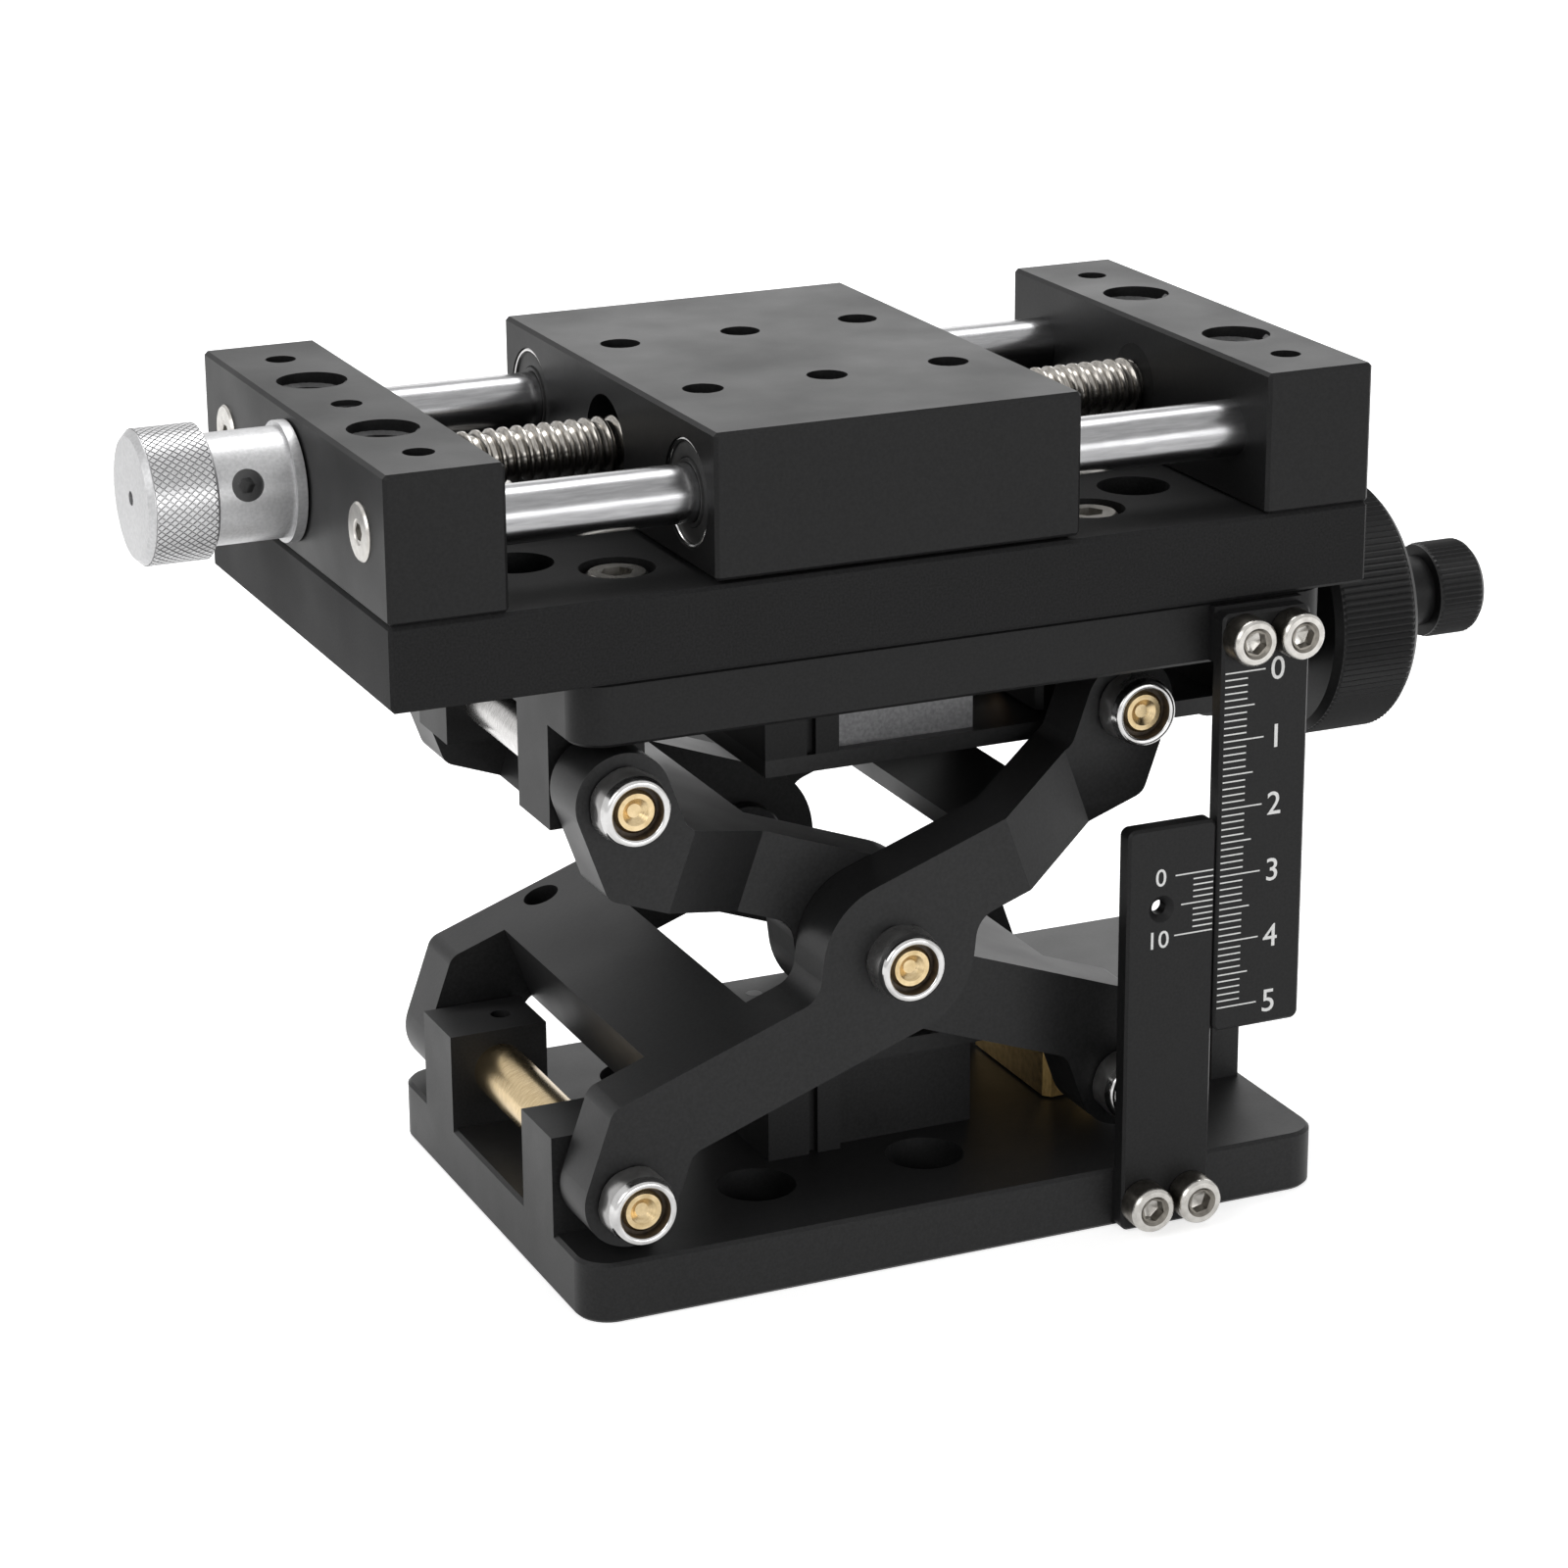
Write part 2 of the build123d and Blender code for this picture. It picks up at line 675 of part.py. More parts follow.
with BuildPart() as upper_slide_studs:
    with Locations(*pivot_nuts(sliding_x, upper_pivot_z, block_stud_start)):
        add(block_stud.part)
upper_slide_studs.part.label = "upper_slide_studs"
export_step(upper_slide_studs.part, "parts/upper_slide_studs.step")

with BuildPart() as upper_slide_nuts:
    with Locations(*pivot_nuts(sliding_x, upper_pivot_z, inner_nut_face)):
        add(nut)
upper_slide_nuts.part.label = "upper_slide_nuts"
export_step(upper_slide_nuts.part, "parts/upper_slide_nuts.step")

# Top plate: the base's body turned over, bored for the lift screw and the slide's screws
slide_screw_places = [
    (slide_centre_x + reach, side * slide_screw_spread / 2)
    for reach in (-slide_screw_reach, slide_screw_reach)
    for side in (-1, 1)
]
with BuildPart() as top_plate:
    mirror(lift_plate(0), about=Plane.XY.offset(mid_z))
    with BuildSketch(along_plane(plate_end, 0, lift_axis_z)):
        Circle(journal_diameter / 2 + running_clearance)
    extrude(amount=-2 * end_block_length, mode=Mode.SUBTRACT)
    with BuildSketch(Plane.XY.offset(platform_top)):
        with Locations(*slide_screw_places):
            Circle(cap_screw_diameter / 2)
    extrude(amount=-plate_thickness + 1, mode=Mode.SUBTRACT)
    with BuildSketch(Plane.XZ.offset(plate_width / 2)):
        with Locations((scale_plate_left + gauge_plate_width / 2, platform_z + plate_thickness / 2)):
            with GridLocations(gauge_screw_spacing, 0, 2, 1):
                Circle(gauge_screw_diameter / 2)
    extrude(amount=-gauge_screw_grip - 2, mode=Mode.SUBTRACT)
top_plate.part.label = "top_plate"
export_step(top_plate.part, "parts/top_plate.step")

# Screw support: bright aluminium block that carries the free end of the lift screw
with BuildPart() as screw_support:
    with BuildSketch(Plane.XY.offset(upper_cover_z)):
        with Locations((centre_block_end + stop_length / 2, 0)):
            Rectangle(stop_length, 2 * stop_block_half_width)
    extrude(amount=block_height)
    with BuildSketch(along_plane(centre_block_end, 0, lift_axis_z)):
        Circle(journal_diameter / 2 + running_clearance)
    extrude(amount=stop_length, mode=Mode.SUBTRACT)
screw_support.part.label = "screw_support"
export_step(screw_support.part, "parts/screw_support.step")

# Bearing disc: round flange on the end of the top plate, the screw turns in it
with BuildPart() as bearing_disc:
    with BuildSketch(along_plane(plate_end, 0, lift_axis_z)):
        Circle(bearing_disc_radius)
        Circle(journal_diameter / 2 + running_clearance, mode=Mode.SUBTRACT)
    extrude(amount=bearing_disc_thickness)
    chamfer(bearing_disc.edges().group_by(Axis.X)[-1].sort_by(SortBy.LENGTH)[-1], 1)
bearing_disc.part.label = "bearing_disc"
export_step(bearing_disc.part, "parts/bearing_disc.step")

# Lift screw, turned from one bar: thread between two journals, then a stub for the lock
screw_shoulder = face_clearance
thread_start = stop_block_end + screw_shoulder
thread_end = plate_end - end_block_length - screw_shoulder
wheel_end = wheel_start + wheel_width
lock_start = wheel_end + face_clearance
lock_end = lock_start + lock_neck_length + lock_head_length
stub_end = lock_end - 2
with BuildPart() as lift_screw:
    with BuildSketch(along_plane(centre_block_end + screw_shoulder, 0, lift_axis_z)):
        Circle(journal_diameter / 2)
    extrude(amount=wheel_end - centre_block_end - screw_shoulder)
    with BuildSketch(along_plane(thread_start, 0, lift_axis_z)):
        Circle(lift_screw_diameter / 2)
    extrude(amount=thread_end - thread_start)
    with BuildSketch(along_plane(wheel_end, 0, lift_axis_z)):
        Circle(lock_bore_diameter / 2)
    extrude(amount=stub_end - wheel_end)
lift_screw.part.label = "lift_screw"
export_step(lift_screw.part, "parts/lift_screw.step")

# Handwheel: black knurled rim on a plain hub, recessed on its outer face
hub_start = plate_end + bearing_disc_thickness + face_clearance
with BuildPart() as handwheel:
    with BuildSketch(along_plane(wheel_start, 0, lift_axis_z)):
        Circle(wheel_radius)
    extrude(amount=wheel_width)
    rim_edges = handwheel.edges().filter_by(GeomType.CIRCLE)
    chamfer(rim_edges, 1)
    with BuildSketch(along_plane(wheel_end, 0, lift_axis_z)):
        Circle(wheel_radius - wheel_rim_width)
        Circle(wheel_hub_radius, mode=Mode.SUBTRACT)
    extrude(amount=-wheel_recess_depth, mode=Mode.SUBTRACT)
    with BuildSketch(along_plane(hub_start, 0, lift_axis_z)):
        Circle(wheel_hub_radius)
    extrude(amount=wheel_start - hub_start)
    with BuildSketch(along_plane(hub_start, 0, lift_axis_z)):
        Circle(journal_diameter / 2)
    extrude(amount=wheel_end - hub_start, mode=Mode.SUBTRACT)
handwheel.part.label = "handwheel"
export_step(handwheel.part, "parts/handwheel.step")

# Lock knob: small knurled thumb nut on the stub of the lift screw
with BuildPart() as lock_knob:
    with BuildSketch(along_plane(lock_start, 0, lift_axis_z)):
        Circle(lock_neck_radius)
    extrude(amount=lock_neck_length)
    with BuildSketch(along_plane(lock_start + lock_neck_length, 0, lift_axis_z)):
        Circle(lock_head_radius)
    extrude(amount=lock_head_length)
    chamfer(lock_knob.edges().group_by(Axis.X)[-1], 0.8)
    with BuildSketch(along_plane(lock_start, 0, lift_axis_z)):
        Circle(lock_bore_diameter / 2 + running_clearance)
    extrude(amount=stub_end - lock_start + face_clearance, mode=Mode.SUBTRACT)
lock_knob.part.label = "lock_knob"
export_step(lock_knob.part, "parts/lock_knob.step")

# Cover screws: countersunk, two at each end of a cover
with BuildPart() as cover_screw:
    with BuildSketch():
        Circle(cover_screw_diameter / 2)
    extrude(amount=cover_thickness)

with BuildPart() as lower_cover_screws:
    with Locations(*[(x, y, lower_cover_z) for x, y in cover_screw_places()]):
        add(cover_screw.part)
lower_cover_screws.part.label = "lower_cover_screws"
export_step(lower_cover_screws.part, "parts/lower_cover_screws.step")

with BuildPart() as upper_cover_screws:
    with Locations(*[(x, y, upper_cover_z - cover_thickness) for x, y in cover_screw_places()]):
        add(cover_screw.part)
upper_cover_screws.part.label = "upper_cover_screws"
export_step(upper_cover_screws.part, "parts/upper_cover_screws.step")


def gauge_plate(left, bottom, top, seat_z, seat):
    """Upright plate in front of the stage, with a pad behind its screws out to the seat."""
    middle = left + gauge_plate_width / 2
    with BuildPart() as plate:
        with BuildSketch(Plane.XZ.offset(gauge_back)):
            with Locations((middle, (bottom + top) / 2)):
                RectangleRounded(gauge_plate_width, top - bottom, gauge_plate_corner)
        extrude(amount=gauge_plate_thickness)
        chamfer(plate.edges().group_by(Axis.Y)[0], gauge_edge_break)
        with BuildSketch(Plane.XZ.offset(seat)):
            with Locations((middle, seat_z)):
                Rectangle(gauge_plate_width, plate_thickness - 2 * edge_break)
        extrude(amount=gauge_back - seat)
        with BuildSketch(Plane.XZ.offset(seat)):
            with Locations((middle, seat_z)):
                with GridLocations(gauge_screw_spacing, 0, 2, 1):
                    Circle(gauge_screw_diameter / 2)
        extrude(amount=gauge_face - seat, mode=Mode.SUBTRACT)
    return plate.part


def gauge_screw_places(left, z):
    """Places for the two screws of a gauge plate, on its front face."""
    middle = left + gauge_plate_width / 2
    return [
        Plane((middle + side * gauge_screw_spacing / 2, -gauge_face, z), x_dir=(1, 0, 0), z_dir=(0, -1, 0))
        for side in (-1, 1)
    ]


# Scale plate hangs from the top plate, vernier plate stands on the base beside it
scale_seat_z = platform_z + plate_thickness / 2
vernier_seat_z = plate_thickness / 2
scale_body = gauge_plate(
    scale_plate_left, scale_plate_bottom, scale_plate_top, scale_seat_z, plate_width / 2
)
with BuildPart() as scale_plate:
    add(scale_body)
scale_plate.part.label = "scale_plate"
export_step(scale_plate.part, "parts/scale_plate.step")

vernier_body = gauge_plate(
    vernier_plate_left, vernier_plate_bottom, vernier_plate_top, vernier_seat_z, base_front
)
vernier_hole_place = (vernier_plate_left + vernier_hole_inset, vernier_plate_top - vernier_hole_drop)
with BuildPart() as vernier_plate:
    add(vernier_body)
    with BuildSketch(Plane.XZ.offset(base_front)):
        with Locations(vernier_hole_place):
            Circle(vernier_hole_diameter / 2)
    extrude(amount=gauge_face - base_front, mode=Mode.SUBTRACT)
    with BuildSketch(Plane.XZ.offset(gauge_face)):
        with Locations(vernier_hole_place):
            Circle(vernier_sink_diameter / 2)
    extrude(amount=-vernier_sink_depth, taper=45, mode=Mode.SUBTRACT)
vernier_plate.part.label = "vernier_plate"
export_step(vernier_plate.part, "parts/vernier_plate.step")

gauge_screw = cap_screw(
    gauge_screw_diameter,
    gauge_plate_reach + gauge_screw_grip,
    gauge_head_diameter,
    gauge_head_height,
    gauge_socket_flats,
)
with BuildPart() as scale_screws:
    with Locations(*gauge_screw_places(scale_plate_left, scale_seat_z)):
        add(gauge_screw)
scale_screws.part.label = "scale_screws"
export_step(scale_screws.part, "parts/scale_screws.step")

with BuildPart() as vernier_screws:
    with Locations(*gauge_screw_places(vernier_plate_left, vernier_seat_z)):
        add(gauge_screw)
vernier_screws.part.label = "vernier_screws"
export_step(vernier_screws.part, "parts/vernier_screws.step")

# Slide plate: flat bed of the slide, four screws hold it down and four holes are spare
spare_places = [
    (slide_centre_x + reach, side * spare_hole_spread / 2)
    for reach in (-spare_hole_reach, spare_hole_reach)
    for side in (-1, 1)
]
with BuildPart() as slide_plate:
    with BuildSketch(Plane.XY.offset(platform_top)):
        with Locations((slide_centre_x, 0)):
            Rectangle(slide_length, slide_width)
    extrude(amount=slide_thickness)
    chamfer(slide_plate.edges(), edge_break)
    with Locations(*[(x, y, slide_top) for x, y in slide_screw_places + spare_places]):
        CounterBoreHole(
            cap_screw_diameter / 2 + running_clearance,
            slide_counterbore_radius,
            slide_counterbore_depth,
        )
slide_plate.part.label = "slide_plate"
export_step(slide_plate.part, "parts/slide_plate.step")

slide_seat = slide_top - slide_counterbore_depth
slide_screw_length = slide_seat - platform_top + slide_screw_grip
slide_screw = cap_screw(
    cap_screw_diameter, slide_screw_length, cap_head_diameter, cap_head_height, cap_socket_flats
)
with BuildPart() as slide_plate_screws:
    with Locations(*[(x, y, slide_seat) for x, y in slide_screw_places]):
        add(slide_screw)
slide_plate_screws.part.label = "slide_plate_screws"
export_step(slide_plate_screws.part, "parts/slide_plate_screws.step")


def slide_end_block(centre_x, middle_set_screw):
    """End block of the slide with its rod bores, screw bore and holes from above."""
    half = end_block_width / 2
    block_top = slide_top + end_block_height
    rod_y = rod_spread / 2
    with BuildPart() as block:
        with BuildSketch(Plane.XY.offset(slide_top)):
            with Locations((centre_x, 0)):
                Rectangle(end_block_width, slide_width)
        extrude(amount=end_block_height)
        chamfer(block.edges(), edge_break)
        with BuildSketch(along_plane(centre_x, 0, axis_z)):
            with Locations((rod_y, 0), (-rod_y, 0)):
                Circle(rod_diameter / 2)
            Circle(feed_bush_diameter / 2)
        extrude(amount=half, both=True, mode=Mode.SUBTRACT)
        with Locations(*[(centre_x, side * block_screw_spread / 2, block_top) for side in (-1, 1)]):
            CounterBoreHole(
                cap_screw_diameter / 2 + running_clearance,
                block_counterbore_radius,
                block_counterbore_depth,
            )
        set_places = [(centre_x, rod_y), (centre_x, -rod_y)]
        if middle_set_screw:
            set_places.append((centre_x, 0))
        with BuildSketch(Plane.XY.offset(block_top)):
            with Locations(*set_places):
                Circle(set_screw_diameter / 2)
        extrude(amount=axis_z - block_top, mode=Mode.SUBTRACT)
    return block.part


# End blocks of the slide, screwed down on the slide plate
left_block_x = slide_left + end_block_width / 2
right_block_x = slide_right - end_block_width / 2
with BuildPart() as left_end_block:
    add(slide_end_block(left_block_x, True))
left_end_block.part.label = "left_end_block"
export_step(left_end_block.part, "parts/left_end_block.step")

with BuildPart() as right_end_block:
    add(slide_end_block(right_block_x, False))
right_end_block.part.label = "right_end_block"
export_step(right_end_block.part, "parts/right_end_block.step")

block_seat = slide_top + end_block_height - block_counterbore_depth
block_screw = cap_screw(
    cap_screw_diameter,
    end_block_height - block_counterbore_depth,
    cap_head_diameter,
    cap_head_height,
    cap_socket_flats,
)
with BuildPart() as end_block_screws:
    with Locations(
        *[
            (x, side * block_screw_spread / 2, block_seat)
            for x in (left_block_x, right_block_x)
            for side in (-1, 1)
        ]
    ):
        add(block_screw)
end_block_screws.part.label = "end_block_screws"
export_step(end_block_screws.part, "parts/end_block_screws.step")

# Set screws that clamp the rods, and one over the left bush of the feed screw
with BuildPart() as set_screw:
    with BuildSketch():
        Circle(set_screw_diameter / 2)
    extrude(amount=set_screw_length)
    with BuildSketch(Plane.XY.offset(set_screw_length)):
        RegularPolygon(set_screw_socket_flats / 2, 6, major_radius=False)
    extrude(amount=-set_screw_socket_depth, mode=Mode.SUBTRACT)

with BuildPart() as rod_set_screws:
    with Locations(
        *[
            (x, side * rod_spread / 2, axis_z + rod_diameter / 2)
            for x in (left_block_x, right_block_x)
            for side in (-1, 1)
        ],
        (left_block_x, 0, axis_z + feed_bush_diameter / 2),
    ):
        add(set_screw.part)
rod_set_screws.part.label = "rod_set_screws"
export_step(rod_set_screws.part, "parts/rod_set_screws.step")

# Guide rods: two hard chromed steel rods held in the end blocks
with BuildPart() as guide_rods:
    with BuildSketch(along_plane(slide_left + rod_cap_depth, 0, axis_z)):
        with Locations((rod_spread / 2, 0), (-rod_spread / 2, 0)):
            Circle(rod_diameter / 2)
    extrude(amount=slide_length - rod_cap_depth)
guide_rods.part.label = "guide_rods"
export_step(guide_rods.part, "parts/guide_rods.step")

# Rod caps: bright discs with a centre hole, in the left ends of the rods' bores
with BuildPart() as rod_end_caps:
    with BuildSketch(along_plane(slide_left - rod_cap_proud, 0, axis_z)):
        with Locations((rod_spread / 2, 0), (-rod_spread / 2, 0)):
            Circle(rod_diameter / 2)
            Circle(rod_cap_hole_diameter / 2, mode=Mode.SUBTRACT)
    extrude(amount=rod_cap_depth + rod_cap_proud)
rod_end_caps.part.label = "rod_end_caps"
export_step(rod_end_caps.part, "parts/rod_end_caps.step")

# Bushes: bronze, one in each end block, the feed screw turns in them
with BuildPart() as feed_bushes:
    for centre_x in (left_block_x, right_block_x):
        with BuildSketch(along_plane(centre_x, 0, axis_z)):
            Circle(feed_bush_diameter / 2)
            Circle(feed_journal_diameter / 2 + running_clearance, mode=Mode.SUBTRACT)
        extrude(amount=end_block_width / 2, both=True)
feed_bushes.part.label = "feed_bushes"
export_step(feed_bushes.part, "parts/feed_bushes.step")

# Carriage: black block with six tapped holes on top
carriage_bottom = slide_top + carriage_gap
carriage_top = carriage_bottom + carriage_height
with BuildPart() as carriage:
    with BuildSketch(Plane.XY.offset(carriage_bottom)):
        with Locations((slide_centre_x, 0)):
            Rectangle(carriage_length, slide_width)
    extrude(amount=carriage_height)
    chamfer(carriage.edges(), edge_break)
    with BuildSketch(along_plane(slide_centre_x, 0, axis_z)):
        with Locations((rod_spread / 2, 0), (-rod_spread / 2, 0)):
            Circle(bushing_diameter / 2)
        Circle(carriage_bore_diameter / 2)
    extrude(amount=carriage_length, both=True, mode=Mode.SUBTRACT)
    with Locations((slide_centre_x, 0, carriage_top)):
        with GridLocations(top_hole_spacing_x, top_hole_spacing_y, 3, 2):
            Hole(top_hole_diameter / 2, depth=top_hole_depth)
carriage.part.label = "carriage"
export_step(carriage.part, "parts/carriage.step")

# Linear bushings: two on each rod, pressed into the ends of the carriage
with BuildPart() as linear_bushings:
    bushing_centre = (carriage_length - bushing_length) / 2 - 0.4
    for side in (-1, 1):
        with BuildSketch(along_plane(slide_centre_x + side * bushing_centre, 0, axis_z)):
            with Locations((rod_spread / 2, 0), (-rod_spread / 2, 0)):
                Circle(bushing_diameter / 2)
                Circle(rod_diameter / 2 + running_clearance, mode=Mode.SUBTRACT)
        extrude(amount=bushing_length / 2, both=True)
linear_bushings.part.label = "linear_bushings"
export_step(linear_bushings.part, "parts/linear_bushings.step")

# Carriage nut: bronze, pressed into the middle bore of the carriage
with BuildPart() as carriage_nut:
    with BuildSketch(along_plane(slide_centre_x, 0, axis_z)):
        Circle(carriage_bore_diameter / 2)
        Circle(feed_screw_diameter / 2 + running_clearance, mode=Mode.SUBTRACT)
    extrude(amount=feed_nut_length / 2, both=True)
carriage_nut.part.label = "carriage_nut"
export_step(carriage_nut.part, "parts/carriage_nut.step")

# Feed screw: thread between the end blocks, journals in the bushes, stub for the knob
collar_left = slide_left - face_clearance - knob_collar_length
hub_left = collar_left - knob_hub_length
knob_left = hub_left - knob_head_length
feed_start = slide_left + end_block_width + face_clearance
feed_end = slide_right - end_block_width - face_clearance
with BuildPart() as feed_screw:
    with BuildSketch(along_plane(hub_left, 0, axis_z)):
        Circle(feed_journal_diameter / 2)
    extrude(amount=slide_right - 1 - hub_left)
    with BuildSketch(along_plane(feed_start, 0, axis_z)):
        Circle(feed_screw_diameter / 2)
    extrude(amount=feed_end - feed_start)
feed_screw.part.label = "feed_screw"
export_step(feed_screw.part, "parts/feed_screw.step")

# Knob: bright aluminium, knurled head on a plain hub with a set screw in it
set_turn = radians(knob_set_screw_turn)
set_plane = Plane(
    (hub_left + knob_set_screw_reach, 0, axis_z), x_dir=(1, 0, 0), z_dir=(0, -cos(set_turn), sin(set_turn))
)
with BuildPart() as feed_knob:
    with BuildSketch(along_plane(knob_left, 0, axis_z)):
        Circle(knob_head_radius)
    extrude(amount=knob_head_length)
    chamfer(feed_knob.edges().filter_by(GeomType.CIRCLE), knob_chamfer)
    with BuildSketch(along_plane(hub_left, 0, axis_z)):
        Circle(knob_hub_radius)
    extrude(amount=knob_hub_length)
    with BuildSketch(along_plane(hub_left, 0, axis_z)):
        Circle(feed_journal_diameter / 2)
    extrude(amount=knob_hub_length, mode=Mode.SUBTRACT)
    with BuildSketch(along_plane(knob_left, 0, axis_z)):
        Circle(1)
    extrude(amount=2, mode=Mode.SUBTRACT)
    with BuildSketch(set_plane):
        Circle(knob_set_screw_diameter / 2)
    extrude(amount=knob_hub_radius, mode=Mode.SUBTRACT)
feed_knob.part.label = "feed_knob"
export_step(feed_knob.part, "parts/feed_knob.step")

# Knob set screw: black, in the front of the hub against the feed screw
with BuildPart() as knob_set_screw:
    with BuildSketch(set_plane.offset(feed_journal_diameter / 2)):
        Circle(knob_set_screw_diameter / 2)
    extrude(amount=knob_hub_radius - feed_journal_diameter / 2 - 0.6)
    with BuildSketch(set_plane.offset(knob_hub_radius - 0.6)):
        RegularPolygon(1, 6, major_radius=False)
    extrude(amount=-1.5, mode=Mode.SUBTRACT)
knob_set_screw.part.label = "knob_set_screw"
export_step(knob_set_screw.part, "parts/knob_set_screw.step")

# Knob collar: thin ring between the hub and the left end block
with BuildPart() as knob_collar:
    with BuildSketch(along_plane(collar_left, 0, axis_z)):
        Circle(knob_collar_radius)
        Circle(feed_journal_diameter / 2, mode=Mode.SUBTRACT)
    extrude(amount=knob_collar_length)
knob_collar.part.label = "knob_collar"
export_step(knob_collar.part, "parts/knob_collar.step")
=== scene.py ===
import math

import bmesh
import bpy
from mathutils import Matrix, Vector


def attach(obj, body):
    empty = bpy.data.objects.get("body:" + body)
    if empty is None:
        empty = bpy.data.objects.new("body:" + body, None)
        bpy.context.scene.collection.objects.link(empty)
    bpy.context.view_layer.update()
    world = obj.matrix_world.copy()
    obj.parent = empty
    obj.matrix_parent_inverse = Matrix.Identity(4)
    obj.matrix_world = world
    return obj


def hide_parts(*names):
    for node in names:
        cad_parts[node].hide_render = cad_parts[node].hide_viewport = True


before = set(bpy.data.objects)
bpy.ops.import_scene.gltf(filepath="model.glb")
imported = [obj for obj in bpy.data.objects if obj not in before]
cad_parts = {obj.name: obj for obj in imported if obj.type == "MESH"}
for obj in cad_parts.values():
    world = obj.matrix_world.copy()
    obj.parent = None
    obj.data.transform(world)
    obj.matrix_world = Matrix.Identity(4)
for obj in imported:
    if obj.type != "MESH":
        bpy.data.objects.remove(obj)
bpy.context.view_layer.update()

# The base is one milled aluminium plate with its ears and blocks left standing.
# It is blasted fine and anodised black, so it is satin, with a faint grain in it.
mm = 0.001


def metal_surface(name, dark, light, metallic, roughness, grain, bump, stretch=(1, 1, 1), sheen=0.5):
    """A finish with fine grain in its colour and height and slow changes in its gloss."""
    material = bpy.data.materials.new(name)
    material.use_nodes = True
    nodes, links = material.node_tree.nodes, material.node_tree.links
    shader = nodes["Principled BSDF"]
    shader.inputs["Metallic"].default_value = metallic
    shader.inputs["Specular IOR Level"].default_value = sheen
    place = nodes.new("ShaderNodeTexCoord")
    turn = nodes.new("ShaderNodeMapping")
    turn.inputs["Scale"].default_value = stretch
    links.new(place.outputs["Object"], turn.inputs["Vector"])
    fine = nodes.new("ShaderNodeTexNoise")
    fine.inputs["Scale"].default_value = grain
    fine.inputs["Detail"].default_value = 3
    links.new(turn.outputs["Vector"], fine.inputs["Vector"])
    tint = nodes.new("ShaderNodeValToRGB")
    tint.color_ramp.elements[0].position = 0.3
    tint.color_ramp.elements[0].color = (*dark, 1)
    tint.color_ramp.elements[1].position = 0.7
    tint.color_ramp.elements[1].color = (*light, 1)
    links.new(fine.outputs["Fac"], tint.inputs["Fac"])
    links.new(tint.outputs["Color"], shader.inputs["Base Color"])
    slow = nodes.new("ShaderNodeTexNoise")
    slow.inputs["Scale"].default_value = 60
    slow.inputs["Detail"].default_value = 4
    links.new(place.outputs["Object"], slow.inputs["Vector"])
    gloss = nodes.new("ShaderNodeMapRange")
    gloss.inputs["From Min"].default_value = 0.3
    gloss.inputs["From Max"].default_value = 0.7
    gloss.inputs["To Min"].default_value = roughness[0]
    gloss.inputs["To Max"].default_value = roughness[1]
    links.new(slow.outputs["Fac"], gloss.inputs["Value"])
    links.new(gloss.outputs["Result"], shader.inputs["Roughness"])
    height = nodes.new("ShaderNodeBump")
    height.inputs["Strength"].default_value = bump
    height.inputs["Distance"].default_value = 0.02 * mm
    links.new(fine.outputs["Fac"], height.inputs["Height"])
    links.new(height.outputs["Normal"], shader.inputs["Normal"])
    return material


def dress(material, *names):
    """Gives CAD nodes their finish."""
    for name in names:
        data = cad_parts[name].data
        data.materials.clear()
        data.materials.append(material)


milled_black = metal_surface(
    "milled_black", (0.006, 0.006, 0.0062), (0.011, 0.011, 0.0113), 0.0, (0.38, 0.48), 2600, 0.25,
    sheen=0.16,
)
base_black = metal_surface(
    "base_black", (0.011, 0.011, 0.0113), (0.018, 0.018, 0.0184), 0.0, (0.4, 0.5), 2600, 0.25,
    sheen=0.2,
)
blasted_black = metal_surface(
    "blasted_black", (0.014, 0.014, 0.0143), (0.022, 0.022, 0.0224), 0.0, (0.5, 0.6), 3000, 0.3,
    sheen=0.06,
)
dress(base_black, "base_plate")

# Flat covers are screwed over both sliding blocks with small blackened screws.
# They are rolled sheet, a little smoother than the milled plates.
sheet_black = metal_surface(
    "sheet_black", (0.007, 0.007, 0.0073), (0.013, 0.013, 0.0134), 0.0, (0.34, 0.44), 1800, 0.15,
    sheen=0.25,
)
blackened_steel = metal_surface(
    "blackened_steel", (0.012, 0.012, 0.013), (0.03, 0.03, 0.031), 0.6, (0.28, 0.4), 1500, 0.2
)
dress(sheet_black, "lower_cover", "upper_cover")
dress(blackened_steel, "lower_cover_screws", "upper_cover_screws", "centre_pivot_heads")

# The lower cross shaft, the studs and the lower sliding block are turned brass.
# Fine rings from the lathe run round them, so their grain is drawn out sideways.
turned_brass = metal_surface(
    "turned_brass", (0.48, 0.36, 0.19), (0.66, 0.52, 0.31), 1.0, (0.2, 0.32), 700, 0.12, (1, 6, 1)
)
milled_brass = metal_surface(
    "milled_brass", (0.5, 0.33, 0.12), (0.72, 0.5, 0.2), 1.0, (0.26, 0.4), 900, 0.3, (6, 1, 1)
)
bearing_bronze = metal_surface(
    "bearing_bronze", (0.3, 0.17, 0.07), (0.5, 0.3, 0.13), 1.0, (0.35, 0.5), 1600, 0.5
)
dress(turned_brass, "lower_pivot_shaft", "upper_pivot_studs", "centre_pivot_studs")
dress(turned_brass, "lower_slide_shaft", "upper_slide_studs")
dress(milled_brass, "lower_slide_block")
dress(bearing_bronze, "lift_nut", "carriage_nut")

# The upper cross shaft and the washers are ground steel, bright and plain.
ground_steel = metal_surface(
    "ground_steel", (0.42, 0.41, 0.4), (0.6, 0.59, 0.58), 1.0, (0.18, 0.3), 900, 0.2, (1, 5, 1)
)
dress(ground_steel, "upper_pivot_shaft", "lower_pivot_washers", "upper_pivot_washers")

